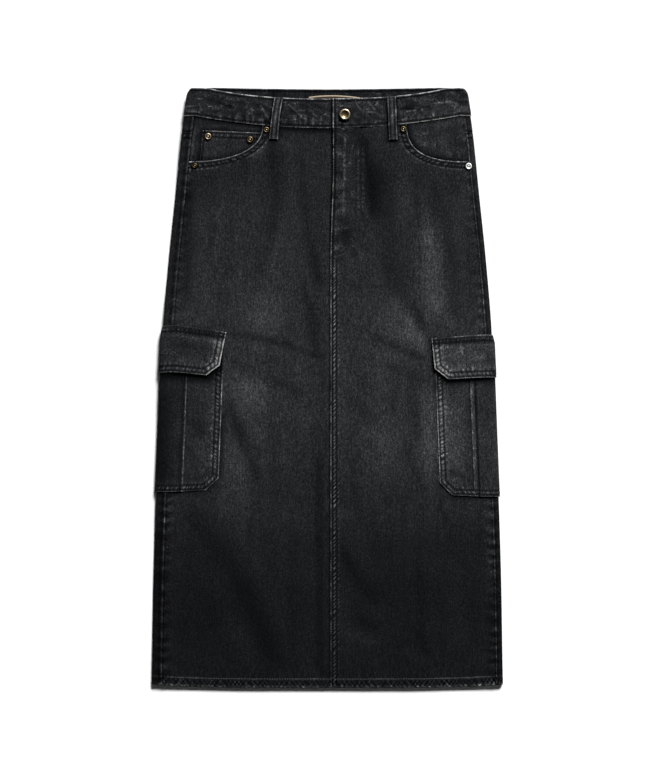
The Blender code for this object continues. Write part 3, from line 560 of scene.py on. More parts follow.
def ripple(along, period, seed):
    """Uneven waves along a seam, from about -1 to 1."""
    turns = along / period + 0.55 * uneven(along, 2.3 * period, seed)
    return (0.70 + 0.45 * uneven(along, 2.9 * period, seed + 3.3)) * sin(2 * pi * turns)


def worn_edge(distance, along, seed, strength=1.0, reach=0.0013):
    """A folded edge: rounded over, and rubbed pale on its crest."""
    if distance > 3 * reach:
        return 0.0, 0.0, 0.0
    roll = 0.00045 * max(1 - distance / 0.0011, 0.0) ** 2
    rub = 0.80 + 0.35 * uneven(along, 0.008, seed)
    return 0.0, roll, 3.7 * strength * rub * bell(distance, reach)


def stitched(distance, along, rows, period, seed, slant=0.0, strength=1.0, pale=0.0, halo=0.35):
    """Rows of stitches pull the cloth down: it puckers between them and rubs pale beyond the last one."""
    last = rows[-1]
    if distance > last + 0.008:
        return 0.0, 0.0, 0.0
    rise = tone = 0.0
    for row in rows:
        near = bell(distance - row, 0.0012)
        rise -= 0.00016 * near
        tone -= 2.6 * near
    wave = ripple(along + slant * distance, period, seed)
    if len(rows) > 1:
        between = plateau(rows[0] + 0.0008, last - 0.0008, 0.0010, distance)
        rise += 0.00013 * strength * between * (1 + wave)
        tone += between * (pale + 0.4 + 1.30 * strength * wave)
    beyond = bell(distance - last - 0.0028, 0.0014)
    tone += beyond * (halo + 0.15 + 0.75 * strength * wave)
    return rise + 0.00008 * strength * beyond * (1 + wave), 0.0, tone


def ditch_shade(distance, strength=1.0, reach=0.0018):
    """Painted shade: the dark line where cloth goes under another piece."""
    return 0.0, 0.0, -2.9 * strength * bell(distance, reach)


def wrinkled(x, depth, size, seed, strength=1.0):
    """Thin pale rubbed lines that wander over crumpled cloth, as on a waistband, each with a side of painted shade.
    """
    n = noise.noise(Vector((x / size, depth / (0.55 * size), seed)))
    n2 = noise.noise(Vector((x / size * 0.7 + 9, depth / size * 1.6, seed + 2)))
    shown = ease(-0.1, 0.35, n2)
    line = bell(n, 0.07) * shown
    # painted shade on one side of each pale line
    dark = bell(n + 0.13, 0.07) * shown
    return 0.00018 * strength * line, 0.0, strength * (0.95 * line - 0.95 * dark + 0.60 * n2)


def add_up(*parts):
    return [sum(values) for values in zip(*parts)]


# %% [markdown]
# ## Laying a piece of cloth
#
# One helper makes every piece. It starts from a flat grid made by a bmesh operator, cuts the grid finer along the
# seams with the subdivide operator, and then lays every point with the piece's own function. A Solidify modifier
# gives the sheet its wall. The tone goes into the mesh as an attribute, which the denim material reads.


def keep_piece(bm, name, finish):
    """Turns a bmesh into a smooth piece that lies with the skirt's one body."""
    mesh = bpy.data.meshes.new(name)
    bm.to_mesh(mesh)
    bm.free()
    mesh.shade_smooth()
    mesh.materials.append(finish)
    obj = place_new(name, mesh)
    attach(obj, "root")
    return obj


def between(values, index):
    """The value at a place in a list, also between two of its entries."""
    if abs(index - round(index)) < 0.001:
        return values[round(index)]
    low = int(index)
    return values[low] + (values[low + 1] - values[low]) * (index - low)


def walled(wall, point, tone, roll):
    """What a piece's lay function gives: a point, its tone, and the share of the wall that a rounded edge leaves."""
    return point, tone, 1 - roll / wall


def lay_cloth(node, turned, columns, rows, lay, wall, fine=None, cuts=3, name=None, finish=None):
    """Lays a sheet for a node. Its outer face is up when the columns run from the wearer's right, or are turned."""
    columns, name = columns[::-1] if turned else columns, name or "denim_" + node
    bm = bmesh.new()
    across, down = len(columns) - 1, len(rows) - 1
    bmesh.ops.create_grid(bm, x_segments=across, y_segments=down, size=0.5)

    def in_the_flat(point):
        return between(columns, (point.x + 0.5) * across), between(rows, (0.5 - point.y) * down)

    if fine:
        marked = {vertex for vertex in bm.verts if fine(*in_the_flat(vertex.co))}
        edges = [edge for edge in bm.edges if edge.verts[0] in marked and edge.verts[1] in marked]
        bmesh.ops.subdivide_edges(bm, edges=edges, cuts=cuts, use_grid_fill=True)
    tone_layer = bm.verts.layers.float.new("tone")
    share_layer = bm.verts.layers.deform.verify()
    for vertex in bm.verts:
        vertex.co, vertex[tone_layer], vertex[share_layer][0] = lay(*in_the_flat(vertex.co))
    obj = keep_piece(bm, name, finish or denim)
    obj.vertex_groups.new(name="wall")
    solidify = obj.modifiers.new("wall", "SOLIDIFY")
    solidify.thickness, solidify.offset = wall, -1  # the wall grows inwards
    solidify.use_even_offset = False
    solidify.vertex_group = "wall"
    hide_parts(node)
    print(name, len(obj.data.polygons), "faces before its wall")


# %% [markdown]
# ## The denim itself
#
# Denim is a twill: the yarns cross in fine diagonal ribs, less than a millimetre apart, and uneven yarns make short
# streaks that run up and down. The material builds this in layers from Object coordinates, which are metres on the
# real thing: a wave for the ribs, stretched noise for the streaks and a soft mottle for the wash. The tone attribute
# sets how light the cloth is: its worn dye, and the painted shade that the tone also carries. The paler it gets, the
# more broken the pattern is, as on real worn cloth. The same layers drive the bump, so ribs catch the light. Very
# little of the shine is specular: cotton is matt.

# %% Denim material
DYE = (0.0132, 0.0138, 0.0149)
WEAR_RATES = (1.02, 1.0, 0.97)  # the yarns' core is less blue than the dye

denim, node, shader = node_material("washed_black_denim")
coordinates = node("TexCoord", {}, "Object")
tone = node("Attribute", {}, "Fac", attribute_name="tone")


def math(operation, *values):
    return node("Math", dict(enumerate(values)), operation=operation)


def noise_at(scale, stretch, detail):
    mapped = node("Mapping", {"Vector": coordinates, "Scale": stretch})
    return node("TexNoise", {"Vector": mapped, "Scale": scale, "Detail": detail, "Roughness": 0.6}, "Fac")


wash = noise_at(22, (1, 1, 1), 4.0)  # cloudy wash, a few centimetres
yarns = noise_at(620, (1.0, 0.10, 1.0), 1.0)  # long uneven yarns
streaks = noise_at(540, (1.0, 0.55, 1.0), 1.5)  # short streaks
specks = noise_at(860, (1.0, 0.75, 1.0), 1.5)  # broken dye
waves = {"Vector": coordinates, "Scale": 460.0, "Distortion": 1.2, "Detail": 1.0, "Detail Scale": 2.0}
rib = node("TexWave", waves, "Fac", bands_direction="DIAGONAL")

stops = math("MULTIPLY_ADD", math("SUBTRACT", wash, 0.5), 0.6, tone)
broken = math("MAXIMUM", math("MINIMUM", math("MULTIPLY_ADD", tone, 0.12, 1.0), 1.3), 0.75)
grain = math("MULTIPLY", math("SUBTRACT", yarns, 0.5), 1.7)
grain = math("MULTIPLY_ADD", math("SUBTRACT", streaks, 0.5), 3.8, grain)
grain = math("MULTIPLY_ADD", math("SUBTRACT", specks, 0.5), 3.1, grain)
stops = math("MULTIPLY_ADD", grain, broken, stops)
stops = math("MULTIPLY_ADD", math("SUBTRACT", rib, 0.5), 0.7, stops)
stops = math("MINIMUM", stops, 4.5)
light = [math("POWER", 2.0, math("MULTIPLY", stops, rate)) for rate in WEAR_RATES]
colour = node("CombineXYZ", {i: math("MULTIPLY", light[i], DYE[i]) for i in range(3)})

height = math("MULTIPLY_ADD", streaks, 0.8, math("MULTIPLY_ADD", specks, 0.7, math("MULTIPLY", rib, 0.9)))
bump = node("Bump", {"Height": height, "Strength": 0.55, "Distance": 0.0005})
shader({"Base Color": colour, "Roughness": 0.9, "Specular IOR Level": 0.03, "Normal": bump})

# %% [markdown]
# ## The seams' lines
#
# A pattern cutter draws the same few lines on every piece: the top of the waist, which dips at the front, the waist
# seam, the pocket's mouth, the yoke seam and the hem. The pieces on both sides of a seam read the same line, so they
# always meet.

# %% Lines of the cut
FLY_END = WAISTBAND + FRONT_SEAM_DIP + FLY_LENGTH
YOKE_SIDE, HEM_SIDE = 0.190, 0.23  # x of the side folds at the yoke and at the hem, about


def seam_width(depth):
    """Distance from the front centre to a side seam, which lies on the front."""
    return half_width(depth) - SIDE_SEAM_INSET


def front_x(side, share, depth):
    """x of a point of the front at a share of the way from its centre to the side seam."""
    return LAY_SHIFT + side.sign * share * (seam_width(depth) - GAP / 2)


def share_of(side, x, depth):
    return side.sign * (x - LAY_SHIFT) / seam_width(depth)


def waist_top(x):
    return FRONT_TOP_DIP * max(1 - abs(x / FRONT_TOP_REACH) ** 2.4, 0.0)


def waist_seam(x):
    return WAISTBAND + FRONT_SEAM_DIP * max(1 - (x / FRONT_SEAM_REACH) ** 2, 0.0)


def hem_line(x):
    return LENGTH - 0.0045 * (x / OUTLINE[-1][1]) ** 4


def yoke_seam(x):
    return YOKE_AT_CENTRE + (YOKE_AT_SIDE - YOKE_AT_CENTRE) * min(abs(x) / YOKE_SIDE, 1.0)


def loop_middle(loop, row):
    """x of a belt loop's middle, and how narrow it is; the one at the wearer's right is bent."""
    bent = sin(pi * row**0.7) if loop.face == "front" and loop.x_top < 0 else 0.0
    middle = loop.x_top + (loop.x_foot - loop.x_top) * row - 0.0012 * bent
    return middle, (0.95 if loop.x_top < 0 else 0.90) - 0.06 * bent


def shade(x, depth):
    """The front is dark close round its belt loops, its button and its rivets."""
    tone = 0.0
    if depth < 0.080:
        for loop in BELT_LOOPS[:2]:
            top = waist_top(loop.x_top)
            row = min(max((depth - top) / (loop.foot - top), 0.0), 1.0)
            middle, narrow = loop_middle(loop, row)
            beside = max(abs(x - middle) - LOOP_WIDTH / 2 * narrow, 0.0)
            tone -= 2.2 * bell(hypot(beside, max(depth - loop.foot, 0.0)), 0.0026)
        away = hypot(x - BUTTON_X, depth - BUTTON_DEPTH) - BUTTON_RADIUS
        tone -= 1.5 * bell(max(away, 0.0), 0.0022)
    if depth < 0.115:
        for rivet in RIVETS:
            away = hypot(x - rivet.x, depth - rivet.depth) - RIVET_RADIUS * rivet.size
            tone -= 1.7 * bell(max(away, 0.0), 0.0019)
    return tone


def mouth_share(side, angle, reach=1.0):
    """Share of the front at an angle along the mouth's curve, from 0 at the waist seam."""
    return 1 - (1 - side.mouth_start) * cos(radians(angle)) ** (2 / side.mouth_power) * reach


def mouth_depth(side, share, reach=1.0):
    """Depth of the mouth's curve, or of one reach times as far from its end at the side seam."""
    across = (1 - share) / (1 - side.mouth_start) / reach
    down = max(1 - across**side.mouth_power, 0.0) ** (1 / side.mouth_power) * reach
    top = waist_seam(front_x(side, share, 0.04))
    return top + down * (MOUTH_DEPTH - top)


def mouth_reach(side, share, depth):
    """1 on the edge of the pocket's mouth, less inside it and more on the front panel."""
    top = waist_seam(front_x(side, share, 0.04))
    across = max(1 - share, 0.0) / (1 - side.mouth_start)
    down = max(depth - top, 0.0) / (MOUTH_DEPTH - top)
    return (across**side.mouth_power + down**side.mouth_power) ** (1 / side.mouth_power)


def mouth_distance(side, x, depth):
    """Distance from the mouth's edge, positive on the panel, and the way along the edge."""
    share = share_of(side, x, depth)
    reach = max(mouth_reach(side, share, depth), 0.02)
    across, down = (1 - share) * seam_width(depth), depth - waist_seam(x)
    return hypot(across, down) * (reach - 1) / reach, 0.085 * atan(max(down, 0) / max(across, 1e-5)) * 1.25


def front_raise(side, share, depth):
    """How far the front panel stands over the facing, the coin pocket and the fly's underlap."""
    reach = mouth_reach(side, share, depth) if depth < 0.30 else 9.0
    raised = RAISED * (1 - ease(1.23, 1.75, reach))
    if side.coin_pocket:
        raised += RAISED * (1 - ease(1.10, 1.50, reach)) * (1 - ease(COIN_OUTER + 0.01, COIN_OUTER + 0.07, share))
    if side.sign > 0:
        from_centre = share * seam_width(depth)
        over = 1 - ease(FLY_EDGE + FLY_UNDERLAP, FLY_EDGE + FLY_UNDERLAP + 0.040, from_centre)
        raised = max(raised, RAISED * over * (1 - ease(FLY_END, FLY_END + 0.040, depth)))
    return raised


def panel_edge(side, depth):
    """x of the front panel's centre edge. The right panel passes under the left one at the fly."""
    past = FLY_EDGE * (1 - ease(0.10, FLY_END, depth))
    if side.sign > 0:
        return FRONT_CENTRE + past + GAP / 2
    return FRONT_CENTRE + past + FLY_UNDERLAP * (1 - ease(FLY_END - 0.040, FLY_END - 0.002, depth)) - GAP / 2


# %% [markdown]
# ## The cargo pockets' outlines
#
# The cargo pockets lie over the side seams, half of them round the back, and their lower corners are cut off. Both
# the pocket and its flap are drawn as a few corners in the pocket's own flat, "across" from the side seam and
# "along" from the flap's seam. Then a rubbed edge, a row of stitches or a shadow only needs the distance to that
# outline.

# %% Lines of the cargo pockets
def seam_to_fold(side):
    """Distance from the side seam to where the cloth turns into the fold."""
    return SIDE_SEAM_INSET - side.sign * LAY_SHIFT - CLOTH - FOLD_RADIUS


def sag(cargo, across, along):
    """How far a row of a cargo pocket hangs down on its way out from the side seam."""
    slope = cargo.slope_top + (cargo.slope_foot - cargo.slope_top) * (max(along, 0.0) / cargo.length) ** 1.25
    return slope * (sqrt(across**2 + 0.01**2) - 0.01)


def on_side(side, across, along, out):
    """A point of a cargo pocket, across to the front below 0."""
    cargo = CARGO[side.name]
    depth = cargo.depth + along + sag(cargo, across, along)
    return round_fold(side.sign, depth, across - seam_to_fold(side) - FOLD_RADIUS * pi / 2, out)


def pocket_place(side, x, depth):
    """The way back: where a point of the front lies on the cargo pocket's flat."""
    cargo = CARGO[side.name]
    distance = side.sign * x - fold_line(depth) - fold_radius(depth) * pi / 2
    across = distance + seam_to_fold(side) + FOLD_RADIUS * pi / 2
    along = depth - cargo.depth
    for _ in range(3):
        along = depth - cargo.depth - sag(cargo, across, along)
    return across, along


def mirrored(half):
    """An outline from its front half."""
    return half + [(-across, along) for across, along in reversed(half)]


def pocket_outline(side):
    length, corner = CARGO[side.name].length, POCKET_HALF - POCKET_CORNER
    return mirrored([(-POCKET_HALF, POCKET_TOP), (-POCKET_HALF, length - POCKET_CORNER), (-corner, length)])


def flap_outline(side):
    cargo = CARGO[side.name]
    corner = cargo.flap_foot - FLAP_CORNER_ACROSS
    side_edge = [(-cargo.flap_top, 0.0), (-cargo.flap_foot, cargo.flap - FLAP_CORNER_ALONG)]
    return mirrored(side_edge + [(-corner, cargo.flap)])


def from_outline(outline, across, along):
    """Distance inwards from an open outline, below 0 outside it, and the way along it."""
    best, way, gone = 1.0, 0.0, 0.0
    for (a0, b0), (a1, b1) in zip(outline, outline[1:]):
        length = hypot(a1 - a0, b1 - b0)
        ta, tb = (a1 - a0) / length, (b1 - b0) / length
        inwards = (across - a0) * tb - (along - b0) * ta
        if inwards < best:
            best, way = inwards, gone + (across - a0) * ta + (along - b0) * tb
        gone += length
    return best, way


def cargo_shadow(side, x, depth):
    """Painted shadow: the front is darkened close round the cargo pocket and its flap."""
    if abs(x) < 0.135 or not 0.30 < depth < 0.57:
        return 0.0
    across, along = pocket_place(side, x, depth)
    by_flap = -from_outline(flap_outline(side), across, along)[0]
    by_pocket = -from_outline(pocket_outline(side), across, along)[0]
    if min(by_flap, by_pocket) <= 0:
        return 0.0
    below_top = ease(-0.004, 0.001, along)
    return below_top * (-2.3 * bell(by_flap, 0.0034) - 1.6 * bell(by_pocket, 0.0028))


def inset(outline, distance):
    """The outline moved inwards, for a row of stitches."""
    lines = []
    for (a0, b0), (a1, b1) in zip(outline, outline[1:]):
        length = hypot(a1 - a0, b1 - b0)
        na, nb = (b1 - b0) / length, -(a1 - a0) / length
        lines.append((a0 + na * distance, b0 + nb * distance, (a1 - a0) / length, (b1 - b0) / length, length))
    points = [lines[0][:2]]
    for (a, b, ta, tb, _), (c, d, tc, td, _) in zip(lines, lines[1:]):
        t = ((c - a) * td - (d - b) * tc) / (ta * td - tb * tc)
        points.append((a + ta * t, b + tb * t))
    a, b, ta, tb, length = lines[-1]
    return points + [(a + ta * length, b + tb * length)]


# %% [markdown]
# ## The front panels
#
# The front of a five-pocket skirt is two panels that meet in a centre seam, with a fly at the top where the wearer's
# left panel laps over the right one. The fly has a J-shaped double row of stitches, and the zip under it prints a
# pale rubbed line on the cloth. The mouths of the pockets are cut out of the panels' upper corners, and the hem is
# turned up and stitched, which twists it into a row of slanting "ropes".

# %% How the front is dressed
J_ROWS = ((0.0380, 0.160, 0.222), (0.0445, 0.163, 0.231))  # x, depth where it turns, depth where it ends
CENTRE_ROWS, MOUTH_ROWS, BACK_ROWS = (0.0027, 0.0076), (0.0030, 0.0082), (0.0020, 0.0080)  # rows of stitches
CARGO_ROWS, FLAP_ROWS, FLAP_TOP_ROWS = (0.0028, 0.0080), (0.0028, 0.0086), (0.0026, 0.0072)
HEM_ROW = 0.0118


def j_distance(row, x, depth):
    """Distance from one J-shaped row of the fly."""
    row_x, turn, foot = row
    if depth < turn:
        return abs(x - row_x)
    wide, high = row_x - FRONT_CENTRE, foot - turn
    return abs(hypot((x - FRONT_CENTRE) / wide, (depth - turn) / high) - 1) * 0.7 * high


def fly_dress(x, depth):
    """The zip's print, the J and the tack at its foot."""
    rise = tone = 0.0
    upper = 1 - ease(FLY_END - 0.012, FLY_END + 0.004, depth)
    for row in J_ROWS:
        away = j_distance(row, x, depth)
        if away < 0.006:
            near = bell(away, 0.0010)
            dots = ripple(depth + 0.5 * x, 0.0052, row[0] * 900)
            rise -= 0.00012 * near
            tone -= (0.75 + 0.45 * dots) * near * (1 - 0.8 * ease(row[1], row[1] + 0.010, depth))
    upright = plateau(0.085, 0.160, 0.015, depth)
    for column, seed in ((0.0412, 3.0), (0.0474, 7.0)):
        near = bell(x - column - 0.0006 * uneven(depth, 0.012, seed), 0.0015)
        tone += upright * near * (0.70 + 0.95 * ripple(depth, 0.0062, seed))
    zip_x = 0.0235 - 0.027 * (depth - 0.068)
    zip_line = bell(x - zip_x, 0.0013) * plateau(0.070, 0.165, 0.012, depth)
    tone += 1.9 * zip_line * (0.75 + 0.45 * uneven(depth, 0.009, 2.0))
    rise += 0.00025 * zip_line
    inside = plateau(0.004, 0.036, 0.006, x) * upper
    crumple = wrinkled(x, depth, 0.011, 12.0, 1.5)
    rise += crumple[0] * inside
    tone += crumple[2] * inside
    bars = ripple(depth + 0.2 * x, 0.0230, 14.0) * plateau(0.0035, 0.0150, 0.004, x - FRONT_CENTRE) * upper
    tone += 0.8 * max(bars, -0.4)
    tack = exp(-(((x - 0.0115) / 0.006) ** 2) - ((depth - 0.243) / 0.009) ** 2)
    tone += tack * (0.7 + 0.8 * uneven(x + 2 * depth, 0.004, 5.0))
    dark = exp(-(((x - 0.0235) / 0.014) ** 2) - ((depth - 0.196) / 0.020) ** 2)
    return rise, 0.0, tone - 0.45 * dark


def side_seam_dress(distance, depth, seed, strip=False):
    """A side seam: a rubbed line on the strip that comes round from the back, a ditch of painted shade, and long slow
    puckers.
    """
    if distance > 0.020:
        return 0.0, 0.0, 0.0
    reach = bell(distance, 0.0085)
    pucker = ripple(depth + 0.25 * distance, 0.0165, seed) * reach
    small = ripple(depth - 0.6 * distance, 0.0062, seed + 9) * reach
    tone = 0.8 * pucker + 0.55 * small + 0.5 * pucker * ease(0.45, 0.60, depth)
    if strip:
        rubbed = 2.1 - 0.9 * plateau(0.165, 0.300, 0.030, depth) * (seed > 3.5)
        tone += rubbed * bell(distance - 0.0009, 0.0011) * (0.9 + 0.4 * uneven(depth, 0.012, seed))
        # Painted shade in the ditch beside the rubbed line.
        tone -= 1.1 * bell(distance - 0.0042, 0.0016)
    else:
        # Painted shade in the ditch at the panel's edge.
        tone -= 1.0 * bell(distance, 0.0016)
    return 0.00022 * (pucker + reach) + 0.00006 * (small + reach), 0.0, tone


def hem_dress(distance, x, seed):
    """The turned-up hem: a pale stitched line, slanting ropes below it and a rubbed edge."""
    if distance > 0.022:
        return 0.0, 0.0, 0.0
    wavy = HEM_ROW + 0.0004 * uneven(x, 0.016, seed + 8)
    line = bell(distance - wavy, 0.0010) * (1.0 + 0.45 * uneven(x, 0.010, seed))
    ropes = ease(0.0005, 0.0025, distance) * (1 - ease(0.0090, 0.0105, distance))
    cross = 0.6 * ripple(x + 0.8 * distance, 0.0066, seed) + 0.6 * ripple(x - 0.7 * distance, 0.0052, seed + 2)
    puckers = bell(distance - 0.0155, 0.0024) * ripple(x, 0.0085, seed + 4)
    dashes = 0.85 + 0.95 * ripple(x, 0.0058, seed + 6)
    edge = worn_edge(distance, x, seed, 0.95, 0.0026)
    slanting = bell(distance - 0.0024, 0.0014) * max(ripple(x + 0.8 * distance, 0.0058, seed + 6), 0.0)
    ropes_tone = ropes * (2.5 * cross - 0.35) + 2.4 * slanting
    rise = 0.00020 * ropes * (1 + cross) + 0.00008 * (1 + puckers) * (distance > 0.0115)
    return rise, edge[1], 2.1 * line + ropes_tone + 0.4 * puckers + edge[2] * dashes


def panel_dress(side, x, depth):
    """Everything that the seams do to one point of a front panel."""
    seed = either(side, 1.0, 2.0)
    parts = [tint(fade_and_shade(x, depth))]
    centre = side.sign * (x - panel_edge(side, depth))
    if side.sign > 0:
        if centre < 0.020:
            parts.append(worn_edge(centre, depth, seed, 1.22))
            parts.append(tint(-0.7 * bell(centre - 0.0030, 0.0013)))
            below = ease(FLY_END - 0.010, FLY_END + 0.010, depth)
            double = stitched(centre, depth, CENTRE_ROWS, 0.0059, seed, 1.0, 1.6, 0.95)
            single = stitched(centre, depth, CENTRE_ROWS[:1], 0.0130, seed, 0.8, 0.7, halo=0.1)
            parts.append([below * a + (1 - below) * b for a, b in zip(double, single)])
        if x < 0.056 and depth < 0.262:
            parts.append(fly_dress(x, depth))
    else:
        # Painted shadow of the left panel's edge on the right panel at the fly.
        parts.append(ditch_shade(max(panel_edge(LEFT, depth) - x, 0), 0.75 + 1.25 * (1 - ease(0.17, 0.23, depth))))
    from_waist = depth - waist_seam(x)
    if from_waist < 0.020:
        # Painted shade under the waistband's foot; where the band's lifted end casts a real shadow, it turns into a
        # slight painted lightening.
        under_band = 0.85 - 0.95 * ease(0.002, 0.010, x) + 0.40 * ease(0.070, 0.090, x)
        parts.append(ditch_shade(from_waist, under_band, 0.0048))
        lean = ripple(x + 0.3 * from_waist, 0.0075, seed + 6) * exp(-from_waist / 0.006)
        parts.append((0.00010 * (1 + lean), 0.0, 0.28 * lean))
    if depth < 0.15 and share_of(side, x, depth) > side.mouth_start - 0.2:
        mouth, along = mouth_distance(side, x, depth)
        if mouth < 0.020:
            parts.append(worn_edge(mouth, along, seed + 1, either(side, 1.0, 1.20)))
            wave, halo = either(side, (1.8, 1.15), (2.4, 1.25))
            parts.append(stitched(mouth, along, MOUTH_ROWS, 0.0094, seed + 1, 0.6, wave, -0.20, halo))
    parts.append(side_seam_dress(side.sign * (front_x(side, 1, depth) - x), depth, seed + 2))
    parts.append(hem_dress(hem_line(x) - depth, x, seed + 3))
    parts.append(tint(cargo_shadow(side, x, depth) + shade(x, depth)))
    return add_up(*parts)


def overlap_raise(x):
    """How far the band is lifted where its end laps over its other end."""
    return OVERLAP_RAISE * (1 - ease(UNDERLAP_EDGE + 0.002, 0.078, x))


def panel_point(side, x, depth):
    """A point of a front panel's outer face, its tone and how far its edge is rounded."""
    rise, roll, tone = panel_dress(side, x, depth)
    if side.sign > 0:  # the cloth follows the band's lifted end
        rise += 0.92 * overlap_raise(x) * (1 - ease(0.0, 0.040, depth - waist_seam(x)))
    out = CLOTH + front_raise(side, share_of(side, x, depth), depth) + rise - roll
    return front(x, depth, out), tone, roll


# %% Front panels
NEAR = (0.002, 0.005, 0.009, 0.014)  # where the mesh is cut finer beside an edge
SEWN = 0.0146  # how far from an edge the mesh is finer
PANEL_WIDTH, PANEL_STEP, PANEL_LENGTH = 0.200, 0.0050, 0.740


def stepped(start, end, step):
    """Evenly spaced values between start and end, neither of them among them."""
    return spread(start, end, max(round((end - start) / step), 1))[1:-1]


def panel_rows(length):
    """Rows of a panel, closer together at its top and at its hem."""
    hem = (0.0165, 0.0130, 0.0116, 0.0085, 0.0055, 0.0025, 0.0)
    rows = [0.0] + [d / length for d in NEAR]
    return rows + stepped(rows[-1], 1 - hem[0] / length, 0.0052 / length) + [1 - d / length for d in hem]


def hemmed(from_hem, point, tone, roll):
    """What a panel's lay function gives: its wall is thicker in the hem."""
    doubled = 1 - ease(0.0112, 0.0126, from_hem)
    return point, tone, (CLOTH + (HEM_WALL - CLOTH) * doubled - roll) / HEM_WALL


def lay_panel(side):
    start, step, near = side.mouth_start, PANEL_STEP / PANEL_WIDTH, [d / PANEL_WIDTH for d in NEAR]
    columns = [0.0] + near + stepped(near[-1], start - near[-1], step) + [start - d for d in near[::-1]] + [start]
    columns += [mouth_share(side, angle) for angle in range(5, 61, 5)]
    columns += stepped(columns[-1], 1 - near[-1], step) + [1 - d for d in near[::-1]] + [1.0]

    def flat(share, row):
        top = mouth_depth(side, share) if share > start else waist_seam(front_x(side, share, 0.04)) + GAP
        depth = top + (hem_line(front_x(side, share, LENGTH)) - top) * row
        by_edge = 1 - min(share / 0.08, 1.0)
        x = front_x(side, share, depth)
        return x + (panel_edge(side, depth) - front_x(side, 0, depth)) * by_edge, depth

    def fine(share, row):
        x, depth = flat(share, row)
        on_fly = x < 0.0500 and depth < 0.256 if side.sign > 0 else x > -0.0070 and depth < 0.256
        if abs(x) > 0.135 and 0.310 < depth < 0.560 and cargo_shadow(side, x, depth) < -0.05:
            return True
        beside = abs(x - panel_edge(side, depth)), side.sign * (front_x(side, 1, depth) - x)
        top = abs(mouth_distance(side, x, depth)[0]) if share > start - 0.12 else 1.0
        return on_fly or min(*beside, top, depth - waist_seam(x), hem_line(x) - depth - 0.003) < SEWN

    def lay(share, row):
        x, depth = flat(share, row)
        return hemmed(hem_line(x) - depth, *panel_point(side, x, depth))

    lay_cloth(f"front_{side.name}", side.sign < 0, columns, panel_rows(PANEL_LENGTH), lay, HEM_WALL, fine)


for side in SIDES:
    lay_panel(side)

# %% [markdown]
# ## The back and its yokes
#
# A yoke is the shaped piece over the seat. Under it hang the two back panels, joined in the middle. Both turn round
# the side folds and end at the side seams, which a laid skirt often shows a finger's width in from its edge. A piece
# that lies on the back, round the fold and on the front needs one coordinate for all three: 0 to 1 is on the back,
# 1 to 2 goes round the fold, and 2 to 3 lies on the front.

# %% Back panels and yokes
SEAM_STRIP, BACK_WIDTH, BACK_STEP, BACK_LENGTH = 0.0100, 0.230, 0.0056, 0.735


def back_place(side, t, depth, out):
    if 1 <= t <= 2:
        return side_fold(side.sign, depth, -90 + 180 * (t - 1), out)
    turn = side.sign * fold_line(depth)
    if t < 1:
        centre = -LAY_SHIFT + side.sign * GAP / 2
        return back(centre + (turn - centre) * t, depth, out)
    edge = front_x(side, 1, depth) + side.sign * GAP
    return front(turn + (edge - turn) * (t - 2), depth, out)


def back_dress(side, t, depth, is_yoke):
    seed = either(side, 21.0, 24.0)
    on_front = ease(1.3, 1.8, t)
    x = side.sign * fold_line(depth) * min(t, 1)
    from_seam = (3 - t) * SEAM_STRIP if t > 2 else SEAM_STRIP + (2 - t) * pi * FOLD_RADIUS if t > 1 else 1.0
    from_yoke = depth - yoke_seam(x if t < 1 else YOKE_SIDE)
    way = x + t * 0.01
    parts = [
        tint((1 - on_front) * back_fade(x, depth) + on_front * (fade_and_shade(x, depth) - 0.62)),
        side_seam_dress(from_seam, depth, either(side, 3.0, 4.0), True),
    ]
    if is_yoke:
        parts += [ditch_shade(-from_yoke, 0.9), ditch_shade(depth - WAISTBAND, 0.8)]
    else:
        parts += [
            worn_edge(from_yoke, way, seed, 0.6),
            stitched(from_yoke, way, BACK_ROWS, 0.0060, seed, 0.6),
            hem_dress(hem_line(x if t < 1 else HEM_SIDE) - depth, way, seed + 1),
        ]
    from_centre = abs(x + LAY_SHIFT)
    if t < 1 and side.sign > 0:
        parts.append(worn_edge(from_centre, depth, seed + 2, 0.6))
        parts.append(stitched(from_centre, depth, BACK_ROWS, 0.0080, seed + 2, 0.8))
    elif t < 1:
        parts.append(ditch_shade(from_centre, 0.8))
    return add_up(*parts)


def back_point(side, t, depth, is_yoke=False):
    rise, roll, tone = back_dress(side, t, depth, is_yoke)
    return back_place(side, t, depth, CLOTH + rise - roll), tone, roll


def yoke_foot(t):
    return yoke_seam(YOKE_SIDE * min(t, 1))


def back_hem(t):
    return hem_line(HEM_SIDE * min(t, 1))


def lay_back(side):
    near = [d / BACK_WIDTH for d in NEAR]
    columns = [0.0] + near + stepped(near[-1], 1, BACK_STEP / BACK_WIDTH) + spread(1, 2, 12)
    columns += [2 + d / SEAM_STRIP for d in (0.0014, 0.0030, 0.0048, 0.0066, 0.0083, 0.0092, 0.0100)]

    def lay_yoke(t, row):
        top = WAISTBAND + GAP
        return walled(CLOTH, *back_point(side, t, top + (yoke_foot(t) - GAP / 2 - top) * row, True))

    def depth_at(t, row):
        top = yoke_foot(t) + GAP / 2
        return top + (back_hem(t) - top) * row

    def lay(t, row):
        depth = depth_at(t, row)
        return hemmed(back_hem(t) - depth, *back_point(side, t, depth))

    def fine(t, row):
        depth = depth_at(t, row)
        return t * BACK_WIDTH < SEWN or t >= 2 or back_hem(t) - depth < 0.0170 or depth - yoke_foot(t) < SEWN

    turned = side.sign > 0
    lay_cloth(f"yoke_{side.name}", turned, columns, spread(0, 1, 30), lay_yoke, CLOTH)
    lay_cloth(f"back_{side.name}", turned, columns, panel_rows(BACK_LENGTH), lay, HEM_WALL, fine, cuts=2)


for side in SIDES:
    lay_back(side)

# %% [markdown]
# ## Inside the pocket mouths
#
# The hip pieces show inside the mouths and run on under the panels. On the wearer's right one sits the small coin
# pocket, held by two rivets, with a double row of stitches along its top.

